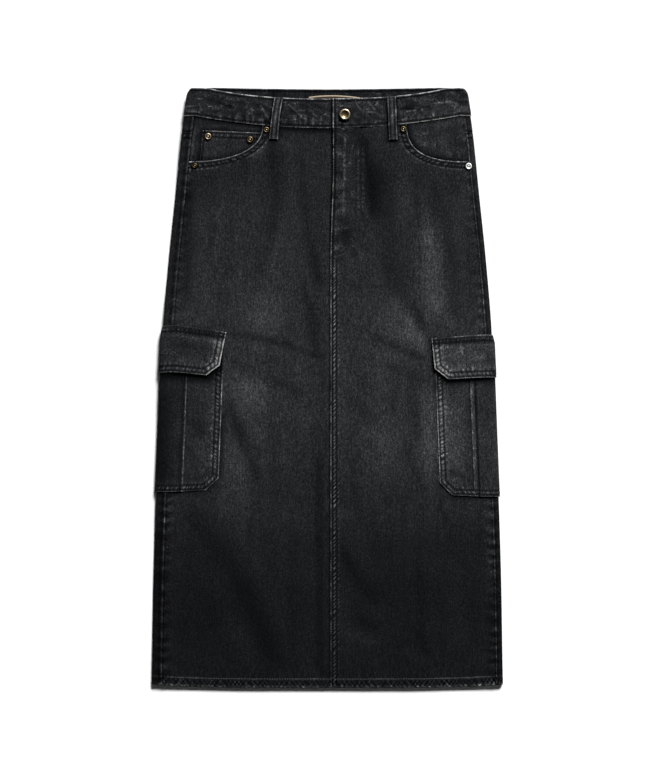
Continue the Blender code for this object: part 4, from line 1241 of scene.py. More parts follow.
# %% Hip pieces and coin pocket
def coin_top(x, depth):
    """Depth of the coin pocket's top edge."""
    along = (share_of(RIGHT, x, depth) - COIN_INNER) / (COIN_OUTER - COIN_INNER)
    return COIN_TOP_INNER + (COIN_TOP_OUTER - COIN_TOP_INNER) * along


def facing_dress(side, x, depth):
    seed = either(side, 31.0, 34.0)
    under = min(mouth_distance(side, x, depth)[0], 0)
    tone = fade_and_shade(x, depth) + shade(x, depth) + 0.15
    if side.coin_pocket:
        beside = (share_of(side, x, depth) - COIN_OUTER) * seam_width(depth)
        away = hypot(max(coin_top(x, depth) - depth, 0.0), max(beside, 0.0))
        # Painted shade on the facing just above and beside the coin pocket.
        tone -= 1.9 * bell(away, 0.0040)
    return add_up(
        # Painted shadow of the panel's mouth edge on the facing, inside the mouth.
        tint(tone - either(side, 2.2, 1.4) * bell(under, 0.0055)),
        wrinkled(x, depth, 0.016, seed, 1.1),
        side_seam_dress(side.sign * (front_x(side, 1, depth) - x), depth, seed + 1),
        ditch_shade(depth - waist_seam(x), either(side, 0.35, 0.85), 0.0036),
    )


def lay_facing(side):
    inner = 1 - (1 - side.mouth_start) * (FACING_REACH - 0.04)
    columns = spread(inner, side.mouth_start, 8) + [mouth_share(side, angle) for angle in range(3, 57, 3)]
    columns += spread(columns[-1], 1.0, 34)[1:]

    def lay(share, row):
        top = waist_seam(front_x(side, share, 0.04)) + GAP
        depth = top + (mouth_depth(side, share, FACING_REACH) - top) * row
        x = front_x(side, share, depth)
        rise, _, tone = facing_dress(side, x, depth)
        return front(x, depth, CLOTH + min(rise, 0.00012)), tone, 1.0

    lay_cloth(f"pocket_facing_{side.name}", side.sign < 0, columns, spread(0, 1, 52), lay, CLOTH)


def coin_point(x, depth):
    from_top = depth - coin_top(x, depth)
    from_side = (COIN_OUTER - share_of(RIGHT, x, depth)) * seam_width(depth)
    under = min(mouth_distance(RIGHT, x, depth)[0], 0)
    rise, roll, tone = add_up(
        # Painted shadow of the panel's mouth edge on the coin pocket.
        tint(fade_and_shade(x, depth) + shade(x, depth) - 1.4 * bell(under, 0.0050) + 0.08),
        worn_edge(from_top, x, 41.0, 0.75),
        stitched(from_top, x, (0.0026, 0.0082), 0.0066, 41.0, 0.3, 1.1, 0.35),
        worn_edge(from_side, depth, 42.0, 0.6),
        stitched(from_side, depth, (0.0024,), 0.0060, 42.0, 0.3, 0.6),
        wrinkled(x, depth, 0.014, 43.0, 0.8),
    )
    return front(x, depth, RAISED + CLOTH + rise - roll), tone, roll


def lay_coin_pocket():
    inner = 1 - (1 - RIGHT.mouth_start) * COIN_REACH
    columns = spread(inner, COIN_OUTER - 0.020, 56)
    columns += [COIN_OUTER - d for d in (0.015, 0.011, 0.008, 0.005, 0.0025, 0)]

    def lay(share, row):
        along = (share - inner) / (COIN_OUTER - inner)
        top = COIN_TOP_INNER + (COIN_TOP_OUTER - COIN_TOP_INNER) * along
        depth = top + (max(mouth_depth(RIGHT, share, COIN_REACH + 0.03), top + 0.008) - top) * row
        return walled(CLOTH, *coin_point(front_x(RIGHT, share, depth), depth))

    rows = [0, 0.012, 0.024, 0.04, 0.06, 0.08] + spread(0.105, 1, 34)
    lay_cloth("coin_pocket", True, columns, rows, lay, CLOTH)


for side in SIDES:
    lay_facing(side)
lay_coin_pocket()

# %% [markdown]
# ## The waistband
#
# The waistband is one strip, doubled over itself. It starts under the front at the button end, runs all the way
# round, and its buttonhole end laps over on top. A waistband is handled more than any other place, so it is crumpled
# and blotchy, with thin pale wrinkles, and both its long edges are rubbed. Painted shade darkens one side of each
# crease, the cloth beside the belt loops and the button, and the whole back half.

# %% Waistband
BAND_TURN = 0.1765  # x where the band turns round the side folds
BAND_ROW = 0.0028  # distance of its stitches from both edges
BAND_LOW, BAND_HIGH = -0.0001, 0.00045  # limits of its puckers


def band_top(where, value):
    """Depth of the top edge, which bows up a little towards the sides."""
    if where in ("left", "right"):
        return -0.0010
    if where == "back":
        return -0.0021 * min(abs(value) / 0.150, 1) ** 1.5 + 0.0011 * ease(0.150, BAND_TURN, abs(value))
    return waist_top(value) - 0.0010 * ease(0.140, BAND_TURN, abs(value))


def band_place(where, value, depth, out):
    """A point of the band. Its value is x on the front and the back, and an angle round the side folds."""
    if where in ("left", "right"):
        return side_fold(1 if where == "left" else -1, depth, value, out)
    if where == "back":
        return back(value, depth, out)
    return front(value, depth, out + (overlap_raise(value) if where == "over" else 0.0))


def band_point(where, value, row):
    at_back, at_side = where == "back", where in ("left", "right")
    top = band_top(where, value)
    foot = (WAISTBAND if at_back or at_side else waist_seam(value)) - GAP / 2
    depth = top + (foot - top) * row
    x = (0.182 + 0.00004 * value) * (1 if where == "left" else -1) if at_side else value
    seed = 55.0 if at_back else 51.0
    if at_back:
        # The back band is darkened all over with painted shade, as inside the waist opening.
        tone = -0.75 + 0.9 * ripple(x, 0.0042, 56.0) * bell(depth - 0.003, 0.006)
        ends = 1 - ease(0.10, 0.165, abs(x))
    else:
        tone = fade_and_shade(x, depth) + strokes(BAND_MARKS, x, depth) + shade(x, depth)
        ends = 1.0
    foot_wear = 1.35 - 0.55 * plateau(0.010, 0.070, 0.010, x) + 0.55 * ease(0.090, 0.100, x)
    parts = [
        tint(tone - 0.12 * (x < 0)),
        worn_edge(depth - top, x, seed, 0.75 if at_back else 1.35, 0.0015),
        stitched(depth - top, x, (BAND_ROW,), 0.0062, seed, 0.5, 0.6, halo=0.1),
        worn_edge(foot - depth, x, seed + 1, foot_wear),
        stitched(foot - depth, x, (BAND_ROW,), 0.0095, seed + 1, 0.5, 1.4, halo=0.2),
        wrinkled(x + 0.8 * depth, depth - 0.5 * x, 0.013, seed + 2, 1.7 * ends),
        wrinkled(x - 0.5 * depth, depth, 0.0085, seed + 3, 1.3 * ends),
    ]
    from_end = value - OVERLAP_EDGE
    if where == "over":
        parts.append(worn_edge(from_end, depth, 58.0, 1.7, 0.0019))
        parts.append(tint(0.7 * bell(from_end - 0.007, 0.004)))
        parts.append(stitched(from_end, depth, (0.0027,), 0.006, 58.0, 0.5, 0.6))
    if where == "front":
        parts.append(ditch_shade(abs(from_end), 1.3, 0.0022))
    rise, roll, tone = add_up(*parts)
    rise = min(max(rise, BAND_LOW), BAND_HIGH)
    return band_place(where, value, depth, WAISTBAND_OUT + rise - roll), tone, roll


def lay_waistband():
    over_rim = (0.0017, 0.0011, 0.0006, 0.0)
    stretches = (
        ("front", spread(UNDERLAP_EDGE, 0.014, 10) + spread(0.012, -BAND_TURN, 150)),
        ("right", spread(90, -90, 14)[1:]),
        ("back", spread(-BAND_TURN, BAND_TURN, 190)),
        ("left", spread(-90, 90, 14)[1:]),
        ("front", spread(BAND_TURN, 0.080, 76)),
        ("over", spread(0.0788, OVERLAP_EDGE + 0.0025, 60) + [OVERLAP_EDGE + d for d in over_rim]),
    )
    columns = [(where, value) for where, values in stretches for value in values]
    rows = [0, 0.010, 0.022, 0.036, 0.055, 0.075] + spread(0.10, 0.90, 24) + [0.925, 0.945, 0.964, 0.978, 0.99, 1]

    def lay(column, row):
        return walled(WAISTBAND_WALL, *band_point(*column, row))

    lay_cloth("waistband", True, columns, rows, lay, WAISTBAND_WALL)


lay_waistband()

# %% [markdown]
# ## Belt loops
#
# A belt loop is a strip folded in three, so both long edges are thick and rub pale. It is caught by a dense tack at
# its top and at its foot.

# %% Belt loops
def loop_point(loop, across, row):
    on_front = loop.face == "front"
    top = waist_top(loop.x_top) + 0.0005 if on_front else 0.0005
    middle, narrow = loop_middle(loop, row)
    x, depth = middle + across * narrow, top + (loop.foot - top) * row
    from_edge, along = LOOP_WIDTH / 2 - abs(across), row * 0.05
    rise, roll, tone = add_up(
        tint((fade_and_shade(x, depth) if on_front else 0.0) + 0.25 * sin(pi * row)),
        worn_edge(from_edge, along, 60.0 + x * 9 + (across > 0), 0.88 if x > 0 and across > 0 else 1.1),
        (0.00012 * (1 + ripple(along, 0.011, 61.0 + x)), 0.0, 0.5 * uneven(along + across, 0.011, 62.0)),
        tint(-1.2 * bell(from_edge - 0.0027, 0.0009) + 1.7 * bell(across, 0.0020)),
    )
    end = min(row, 1 - row) * (loop.foot - top)
    tone += (1.3 + 0.8 * (row > 0.5)) * bell(end, 0.0011) + 0.5 * bell(end - 0.0035, 0.0010)
    out = LOOP_WALL + rise - roll
    if on_front:
        side = LEFT if x > 0 else RIGHT
        on_panel = CLOTH + front_raise(side, share_of(side, x, depth), max(depth, waist_seam(x))) + GAP
        return front(x, depth, max(LOOP_IN, on_panel) + LOOP_BOW * sin(pi * row) + out), tone, roll
    return back(x, depth, LOOP_IN + out), tone, roll


def lay_loop(loop):
    half = LOOP_WIDTH / 2
    columns = [-half, -half + 0.0005, -half + 0.0011] + spread(-half + 0.0019, half - 0.0019, 7)
    columns += [half - 0.0011, half - 0.0005, half]
    rows = [0, 0.012, 0.025, 0.045, 0.07] + spread(0.09, 0.91, 34) + [0.93, 0.955, 0.975, 0.988, 1]

    def lay(across, row):
        return walled(LOOP_WALL, *loop_point(loop, across, row))

    lay_cloth(loop.name, loop.face == "back", columns, rows, lay, LOOP_WALL)


for loop in BELT_LOOPS:
    lay_loop(loop)

# %% [markdown]
# ## Cargo pockets and their flaps
#
# A box pleat gives each cargo pocket room: two folded edges run down it like a raised track. The flap is two layers
# thick and stiff, so its edges rub the palest of all, and it casts a deep shadow on the pocket below it, which is
# deepened with painted shadow.

# %% Cargo pockets
def side_tone(side, across, along):
    """The broad fade and painted fold shade where a point of a cargo pocket lies."""
    point = on_side(side, across, along, 0.0)
    share = ease(0.0, 0.010, across - seam_to_fold(side))
    depth = LENGTH / 2 - point.y
    return (1 - share) * fade_and_shade(point.x, depth) + share * back_fade(point.x, depth)


def pocket_point(side, across, along):
    seed, cargo = either(side, 71.0, 75.0), CARGO[side.name]
    edge, way = from_outline(pocket_outline(side), across, along)
    edge = max(edge, 0.0)
    below_flap = max(-from_outline(flap_outline(side), across, along)[0], 0.0)
    from_pleat = cargo.pleat - abs(across)
    pleat = from_pleat >= -1e-6
    wave, pale = either(side, (1.5, 0.75), (2.4, 0.60))
    parts = [
        tint(side_tone(side, across, along) + either(side, 0.22, -0.05)),
        # Painted shadow of the flap on the pocket below it.
        tint(-3.4 * bell(below_flap, either(side, 0.0058, 0.0085)) - 0.8 * exp(-below_flap / 0.010)),
        worn_edge(edge, way, seed, 1.12),
        stitched(edge, way, CARGO_ROWS, 0.0058, seed, 0.5, wave, pale, 0.5),
        wrinkled(across, along * 0.8, 0.024, seed + 1, 0.5),
    ]
    if pleat:
        parts.append(worn_edge(from_pleat, along, seed + 2, 0.80))
    if pleat and side.sign > 0:
        parts.append(stitched(from_pleat, along, (0.0062,), 0.0100, seed + 2, 0.4, 0.35, halo=0.0))
        parts.append(tint(0.9 * bell(from_pleat - 0.0032, 0.0016)))
    elif pleat:
        parts.append(tint(-1.4 * bell(from_pleat - 0.0040, 0.0020)))
    elif side.sign > 0:
        parts.append(ditch_shade(-from_pleat, 0.5))
    if along > cargo.length - 0.030:
        parts.append(tint(0.35 * ripple(across, 0.0085, seed + 4) * bell(edge - 0.0105, 0.0035)))
    rise, roll, tone = add_up(*parts)
    wall = (PLEAT_WALL if pleat else CLOTH) - roll
    return on_side(side, across, along, RAISED + wall + rise), tone, wall


def fold_columns(side, edge, step, extra=()):
    """Columns across a cargo pocket, close together where it turns round the fold and at its edges."""
    quarter = FOLD_RADIUS * pi / 2
    turn = [seam_to_fold(side) + quarter * k / 6 for k in range(13)]
    flat = stepped(-edge + 0.0022, turn[0], step) + stepped(turn[-1], edge - 0.0022, step)
    rims = [sign * (edge - d) for sign in (-1, 1) for d in (0.0, 0.0006, 0.0013, 0.0022)]
    flat = [a for a in flat if all(abs(a - mark) > 0.0005 for mark in extra)]
    return sorted(flat + turn + rims + list(extra))


def lay_pocket(side):
    cargo, corner = CARGO[side.name], POCKET_HALF - POCKET_CORNER
    marks = [s * (cargo.pleat + d) for s in (-1, 1) for d in (0.0003, 0.0, -0.0006, -0.0013)] + [-corner, corner]
    columns = fold_columns(side, POCKET_HALF, 0.00155, marks)
    rows = spread(0, 0.984, 128) + [0.989, 0.993, 0.9965, 1.0]

    def lay(across, row):
        length = cargo.length - max(abs(across) - corner, 0.0)
        point, tone, wall = pocket_point(side, across, POCKET_TOP + (length - POCKET_TOP) * row)
        return point, tone, wall / PLEAT_WALL

    lay_cloth(f"cargo_pocket_{side.name}", side.sign < 0, columns, rows, lay, PLEAT_WALL)


# %% Cargo flaps
def flap_point(side, across, along):
    """The flap is sewn down at its top, steps over the pocket and its pleat, and its front edge lifts a little."""
    seed, cargo = either(side, 81.0, 85.0), CARGO[side.name]
    edge, way = from_outline(flap_outline(side), across, along)
    edge = max(edge, 0.0)
    inner_end = ease(0.034, 0.060, abs(across))
    over_pleat = 1 - ease(cargo.pleat + 0.001, cargo.pleat + 0.006, abs(across))
    seat = POCKET_OUT + (PLEAT_OUT - POCKET_OUT) * over_pleat + GAP
    out = RAISED + (seat - RAISED) * ease(0.0, POCKET_TOP - 0.002, along)
    out += FLAP_LIFT * ease(0.020, 0.060, along) * (1 - ease(-0.010, 0.004, across))
    long_puckers = ease(0.0085, 0.010, edge) * (1 - ease(0.012, 0.020, edge)) * ease(0.020, 0.034, along)
    step = bell(along - POCKET_TOP + 0.001, 0.0022) * ease(0.004, 0.012, edge)
    tone = side_tone(side, across, along) + either(side, 0.48, 0.08)
    if side.sign > 0:
        top_wear = max(0.45 + 0.85 * uneven(across, 0.011, seed + 5), 0.0)
        tone += 0.7 * sum(bell(hypot(across + at, along - 0.040), 0.0045) for at in (0.046, 0.036))
    else:
        top_wear = 0.62 * (1 - ease(-0.060, -0.050, -abs(across)))
    tone += either(side, 1.3, 2.0) * inner_end * bell(edge, 0.012) * ease(0.008, 0.014, along)
    # Pale along the ridge where the flap steps over the pocket's top edge; a band of painted shade in the dip just
    # below the flap's top seam.
    tone += 0.8 * step - either(side, 1.3, 0.8) * bell(along - 0.0080, 0.0045)
    rise, roll, tone = add_up(
        tint(tone),
        worn_edge(edge, way, seed, 1.15 + 0.4 * inner_end),
        stitched(edge, way, FLAP_ROWS, 0.0058, seed, 0.3, either(side, 1.05, 1.60), 0.40, 0.5),
        (0.00008 * long_puckers, 0.0, 0.9 * long_puckers * max(ripple(way, 0.0075, seed + 1), -0.3)),
        wrinkled(across, along, 0.016, seed + 2, 1.1 + 0.5 * inner_end),
        worn_edge(along, across, seed + 3, top_wear),
        stitched(along, across, FLAP_TOP_ROWS, 0.0056, seed + 3, 0.2, either(side, 1.0, 1.5), halo=0.1),
    )
    roll = min(roll, 0.0006)
    return on_side(side, across, along, out + FLAP_WALL + min(rise, 0.0005) - roll), tone, FLAP_WALL - roll


def lay_flap(side):
    cargo = CARGO[side.name]
    narrow = cargo.flap_foot / cargo.flap_top
    corner = cargo.flap_foot - FLAP_CORNER_ACROSS
    columns = fold_columns(side, cargo.flap_top, 0.0013, [-corner / narrow, corner / narrow])
    rows = [0, 0.010, 0.022] + spread(0.036, 0.96, 42) + [0.972, 0.982, 0.991, 1.0]

    def lay(column, row):
        away = ease(cargo.pleat + 0.002, 0.060, abs(column))
        across = column * (1 + (narrow - 1) * row * away)
        cut = max(abs(column) * narrow - corner, 0.0) / FLAP_CORNER_ACROSS
        along = (cargo.flap - FLAP_CORNER_ALONG * min(cut, 1.0)) * row
        point, tone, wall = flap_point(side, across, along)
        return point, tone, wall / FLAP_WALL

    lay_cloth(f"cargo_flap_{side.name}", side.sign < 0, columns, rows, lay, FLAP_WALL)


for side in SIDES:
    lay_pocket(side)
    lay_flap(side)

# %% [markdown]
# ## Sewing thread
#
# The thread is as dark as the cloth, so it shows by its shine and by the dents it makes, but it must be there when
# somebody looks closely. Every stitch is one tiny low-polygon ball, stretched to a stitch's length and laid along
# the seam with a matrix. Sharing one helper, each seam only has to say where its line runs on the cloth.

# %% Thread
STITCH, STITCH_GAP, THREAD = 0.0026, 0.0008, 0.00055

thread, node, shader = node_material("thread")
tone = node("Attribute", {}, "Fac", attribute_name="tone")
fibre = node("TexNoise", {"Scale": 2600, "Vector": node("TexCoord", {}, "Object")}, "Fac")
lighter = node("Math", {0: 2.0, 1: tone}, operation="POWER")
level = node("Math", {0: lighter, 1: fibre, 2: 0.25}, operation="MULTIPLY_ADD")
colour = node("VectorMath", {0: (0.016, 0.0167, 0.018), "Scale": level}, operation="SCALE")
shader({"Base Color": colour, "Roughness": 0.62, "Specular IOR Level": 0.22})


def sew(name, seams, stitch=STITCH, gap=STITCH_GAP):
    """seams is a list of (points along the cloth, tone): each gets a row of stitches."""
    bm = bmesh.new()
    tone_layer = bm.verts.layers.float.new("tone")
    count = 0
    for points, tone in seams:
        way, goal, starts = 0.0, 0.0, []
        for a, b in zip(points, points[1:]):
            length = (b - a).length
            while length > 0 and goal <= way + length:
                starts.append(a + (b - a) * ((goal - way) / length))
                goal += stitch if len(starts) % 2 else gap
            way += length
        for a, b in zip(starts[::2], starts[1::2]):
            middle, run = (a + b) / 2, b - a
            middle.z = max(middle.z, THREAD / 2.4)
            lean = run.to_track_quat("X", "Z").to_matrix().to_4x4()
            size = Matrix.Diagonal((run.length / 2, THREAD / 2, THREAD / 2.4, 1))
            place = Matrix.Translation(middle) @ lean @ size
            made = bmesh.ops.create_icosphere(bm, subdivisions=1, radius=1.0, matrix=place)
            for vertex in made["verts"]:
                vertex[tone_layer] = tone
            count += 1
    keep_piece(bm, name, thread)
    print(name, count, "stitches")


LIFT = Vector((0, 0, 0.00012))


def line(start, end, step=0.003):
    """Values from start to end, about a step apart."""
    return spread(start, end, max(round(abs(end - start) / step), 2))


# %% Stitches of the front
def panel_row(side, places):
    """A row of thread on a front panel, from (x, depth) pairs."""
    return [panel_point(side, x, depth)[0] + LIFT for x, depth in places]


def mouth_row(side, inwards):
    """Places at one distance from a pocket's mouth."""
    reach = 1 + inwards / 0.060
    for angle in spread(6, 88, 60):
        share = mouth_share(side, angle, reach)
        top = waist_seam(front_x(side, share, 0.07))
        depth = top + sin(radians(angle)) ** (2 / side.mouth_power) * reach * (MOUTH_DEPTH - top)
        x = front_x(side, share, depth)
        for _ in range(3):  # walks to the wanted distance from the mouth
            away = mouth_distance(side, x, depth)[0] - inwards
            across, down = front_x(side, 1, depth) - x, depth - waist_seam(x)
            size = hypot(across, down)
            x += away * across / size
            depth -= away * down / size
        yield x, depth


for side in SIDES:
    seams = []
    if side.sign > 0:
        depths = line(WAISTBAND + FRONT_SEAM_DIP + 0.002, LENGTH - HEM)
        for inwards, start in zip(CENTRE_ROWS, (0.0, FLY_END)):
            places = [(panel_edge(side, d) + inwards, d) for d in depths if d > start]
            seams.append((panel_row(side, places), 0.0))
        for row_x, turn, foot in J_ROWS:
            wide, high = row_x - FRONT_CENTRE, foot - turn
            hook = [(FRONT_CENTRE + wide * cos(a), turn + high * sin(a)) for a in spread(0, radians(84), 24)]
            seams.append((panel_row(side, [(row_x, d) for d in line(0.055, turn)] + hook[1:]), 0.0))
    seams += [(panel_row(side, mouth_row(side, inwards)), 0.2) for inwards in MOUTH_ROWS]
    hem_x = line(front_x(side, 0.03, 0.78), front_x(side, 0.985, 0.78))
    seams.append((panel_row(side, [(x, hem_line(x) - HEM_ROW) for x in hem_x]), 3.0))
    sew(f"stitches_front_{side.name}", seams)

# %% Stitches of the back
for side in SIDES:
    seams = []
    for inwards in BACK_ROWS:
        seams.append(([back_point(side, t, yoke_foot(t) + inwards)[0] for t in spread(0.01, 0.99, 90)], 0.0))
        if side.sign > 0:
            depths = line(YOKE_AT_CENTRE + 0.010, LENGTH - HEM)
            seams.append(([back_point(side, inwards / BACK_WIDTH, d)[0] for d in depths], 0.0))
    seams.append(([back_point(side, t, back_hem(t) - HEM_ROW)[0] for t in spread(0.005, 0.99, 90)], 1.8))
    sew(f"stitches_back_{side.name}", seams)

# %% Stitches of the waistband, the loops and the coin pocket
around = [
    ("front", line(OVERLAP_EDGE - 0.002, -BAND_TURN)), ("right", spread(80, -80, 8)),
    ("back", line(-BAND_TURN, BAND_TURN)), ("left", spread(-80, 80, 8)),
    ("front", line(BAND_TURN, 0.080)), ("over", line(0.0785, OVERLAP_EDGE + 0.0024)),
]
seams = []
for row, tone in ((0.058, 0.3), (0.938, 0.5)):
    seams.append(([band_point(where, value, row)[0] for where, values in around for value in values], tone))
seams.append(([band_point("over", OVERLAP_EDGE + 0.0024, row)[0] for row in spread(0.06, 0.94, 12)], 0.3))
sew("stitches_waistband", seams)

seams = []
for loop in BELT_LOOPS:
    for row in (0.018, 0.034, 0.050, 0.955, 0.972, 0.988):
        seams.append(([loop_point(loop, a, row)[0] for a in spread(-0.0052, 0.0052, 4)], 1.0))
sew("stitches_belt_loops", seams, 0.0016, 0.0003)

coin_x = line(front_x(RIGHT, 0.53, 0.062), front_x(RIGHT, COIN_OUTER - 0.012, 0.062), 0.002)
seams = [([coin_point(x, coin_top(x, 0.062) + inwards)[0] for x in coin_x], 0.3) for inwards in (0.0022, 0.0088)]
depths = line(0.060, 0.091, 0.002)
seams.append(([coin_point(front_x(RIGHT, COIN_OUTER - 0.0125, d), d)[0] for d in depths], 0.3))
sew("stitches_coin_pocket", seams)

# %% Stitches of the cargo pockets and flaps
def along_outline(outline, step=0.0025):
    """Points along an open outline."""
    points = []
    for (a0, b0), (a1, b1) in zip(outline, outline[1:]):
        count = max(round(hypot(a1 - a0, b1 - b0) / step), 1)
        points += [(a0 + (a1 - a0) * k / count, b0 + (b1 - b0) * k / count) for k in range(count)]
    return points + [outline[-1]]


for side in SIDES:
    cargo = CARGO[side.name]
    seams = []
    for inwards in CARGO_ROWS:
        rows = along_outline(inset(pocket_outline(side), inwards))
        seams.append(([pocket_point(side, a, b)[0] for a, b in rows if b > cargo.flap - 0.002], 0.2))
    for sign in (-1, 1):
        across, values = sign * (cargo.pleat - 0.0046), line(cargo.flap - 0.002, cargo.length - 0.002)
        seams.append(([pocket_point(side, across, b)[0] for b in values], 0.0))
    for inwards in FLAP_ROWS:
        rows = along_outline(inset(flap_outline(side), inwards))
        seams.append(([flap_point(side, a, max(b, 0.001))[0] for a, b in rows], 0.2))
    for along in FLAP_TOP_ROWS:
        values = line(-cargo.flap_top + 0.003, cargo.flap_top - 0.003, 0.0015)
        seams.append(([flap_point(side, a, along)[0] for a in values], 0.9))
    sew(f"stitches_cargo_{side.name}", seams)

# %% [markdown]
# ## Bar tacks
#
# Where a seam must not tear, at the foot of the fly and of the J, a machine sews a bar: a dozen short stitches side
# by side. The same helper sews them, with stitches that lie across the bar.

# %% Tacks
def tack(x, depth, run_x, run_d, count=11, half=0.0011):
    """A dense bar on the left panel from (x, depth) along (run_x, run_d): a list of short seams across it."""
    length = hypot(run_x, run_d)
    off_x, off_d = -run_d / length * half, run_x / length * half
    middles = [(x + run_x * t, depth + run_d * t) for t in spread(0, 1, count)]
    return [(panel_row(LEFT, [(a - off_x, b - off_d), (a + off_x, b + off_d)]), 2.0) for a, b in middles]


bars = tack(0.0085, 0.2280, 0.0005, 0.0095) + tack(0.0180, 0.2170, 0.0070, -0.0060)
sew("stitches_tacks", bars, 0.0021, 0.0001)

# %% [markdown]
# ## Button and rivets
#
# A tack button and its rivets are stamped metal, plated and then aged, so the raised parts are polished and the
# grooves stay dark. Each is a profile turned round its axis with the spin operator. Every point of the profile has
# its own tone, which darkens the grooves.

# %% Metals
def aged_metal(name, deep, middle, worn, roughness):
    """Worn where its tone is high, dark and tarnished where it is low."""
    made, node, shader = node_material(name)
    tone = node("Attribute", {}, "Fac", attribute_name="tone")
    mottle = node("TexNoise", {"Scale": 900, "Detail": 4, "Vector": node("TexCoord", {}, "Object")}, "Fac")
    level = node("Math", {0: mottle, 1: -0.8, 2: tone}, operation="MULTIPLY_ADD")
    share = node("MapRange", {"Value": level, "From Min": -1.8, "From Max": 0.3})
    patina = node("ValToRGB", {0: share}, "Color")
    ramp = patina.node.color_ramp.elements
    ramp.new(0.55)
    for stop, colour in zip(ramp, (deep, middle, worn)):
        stop.color = (*colour, 1)
    rough = node("MapRange", {"Value": mottle, "To Min": roughness - 0.06, "To Max": roughness + 0.22})
    bump = node("Bump", {"Strength": 0.25, "Distance": 0.0001, "Height": mottle})
    shader({"Metallic": 1.0, "Base Color": patina, "Roughness": rough, "Normal": bump})
    return made


brass = aged_metal("antique_brass", (0.026, 0.017, 0.008), (0.18, 0.130, 0.070), (0.55, 0.50, 0.41), 0.36)
nickel = aged_metal("nickel", (0.08, 0.08, 0.08), (0.50, 0.50, 0.48), (0.96, 0.95, 0.92), 0.46)


def turn_up(name, node, finish, slot, profile, place, up=Vector((0, 0, 1)), steps=40):
    """Spins a profile of (radius, height, tone) rows, from the top's middle to the foot, round its axis."""
    bm = bmesh.new()
    tone_layer = bm.verts.layers.float.new("tone")
    points = []
    for radius, height, tone in profile:
        points.append(bm.verts.new((radius, 0, height)))
        points[-1][tone_layer] = tone
    edges = [bm.edges.new(pair) for pair in zip(points, points[1:])]
    bmesh.ops.spin(
        bm, geom=points + edges, cent=(0, 0, 0), axis=(0, 0, 1), angle=2 * pi, steps=steps, use_merge=True,
        use_duplicate=False,
    )
    bmesh.ops.remove_doubles(bm, verts=bm.verts, dist=0.00001)
    bmesh.ops.recalc_face_normals(bm, faces=bm.faces)
    turn = up.to_track_quat("Z", "Y").to_matrix().to_4x4()
    bmesh.ops.transform(bm, matrix=Matrix.Translation(place) @ turn, verts=bm.verts)
    obj = keep_piece(bm, name, finish)
    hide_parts(node)
    print(name, "at", [round(1000 * c, 1) for c in place])


# %% Button
rim = BUTTON_RADIUS
BUTTON_PROFILE = [
    (0.0, 0.0018, -0.6), (0.0010, 0.0019, -0.6), (0.0020, 0.0020, -0.5), (0.0028, 0.0022, -0.4),
    (0.0035, 0.0025, -0.4), (0.0041, 0.0029, -0.5), (0.0046, 0.0031, -0.9), (0.0050, 0.0032, -0.2),
    (0.0054, 0.0035, 0.2), (0.0059, 0.0036, 0.2), (0.0063, 0.0035, 0.1), (rim - 0.0007, 0.0033, 0.2),
    (rim - 0.0002, 0.0029, 0.2), (rim, 0.0023, -0.3), (rim - 0.0002, 0.0017, -0.8), (rim - 0.0008, 0.0012, -1.2),
    (rim - 0.0022, 0.0007, -1.5), (0.0034, 0.0005, -1.5), (0.0030, 0.0, -1.5), (0.0, 0.0, -1.5),
]
seat = front(BUTTON_X, BUTTON_DEPTH, WAISTBAND_OUT + OVERLAP_RAISE + GAP)
turn_up("brass_button", "button", brass, "antique_brass", BUTTON_PROFILE, seat, steps=56)

# %% Rivets
RIVET_PROFILE = [
    (0.0, 0.0018, 0.5), (0.0006, 0.0017, 0.4), (0.0011, 0.0014, -0.3), (0.0014, 0.0009, -1.6),
    (0.0019, 0.0008, -1.6), (0.0023, 0.0011, -0.6), (0.0028, 0.0014, 0.2), (0.0033, 0.0015, 0.5),
    (0.0038, 0.0014, 0.3), (0.0043, 0.0011, 0.0), (RIVET_RADIUS, 0.0007, -0.5), (RIVET_RADIUS, 0.0, -1.2),
    (0.0, 0.0, -1.2),
]


def rivet_seat(row, off_x=0.0, off_depth=0.0):
    """A point of the cloth under a rivet, or beside its middle."""
    side, x, depth = LEFT if row.x > 0 else RIGHT, row.x + off_x, row.depth + off_depth
    on = RAISED if row.on == "coin" else front_raise(side, share_of(side, x, depth), depth)
    return front(x, depth, on + CLOTH + GAP)


for row in RIVETS:
    across = rivet_seat(row, RIVET_RADIUS) - rivet_seat(row, -RIVET_RADIUS)
    upwards = rivet_seat(row, 0.0, -RIVET_RADIUS) - rivet_seat(row, 0.0, RIVET_RADIUS)
    finish, slot = (nickel, "nickel") if row.name == "rivet_left_mouth_outer" else (brass, "antique_brass")
    nub = -1.3 if finish == nickel else 0.1  # the nickel one is dark in its middle
    profile = [(r * row.size, height, tone + (nub if r < 0.0010 else row.wear)) for r, height, tone in RIVET_PROFILE]
    up = across.cross(upwards).normalized()
    turn_up(f"metal_{row.name}", row.name, finish, slot, profile, rivet_seat(row), up, 28)

# %% [markdown]
# ## The label
#
# Inside the back waistband sits a dark woven label with a pale border. It stays bare: only its weave shows. A label
# is woven much finer than denim, so its material is a small checked weave, and the tone attribute marks the border.

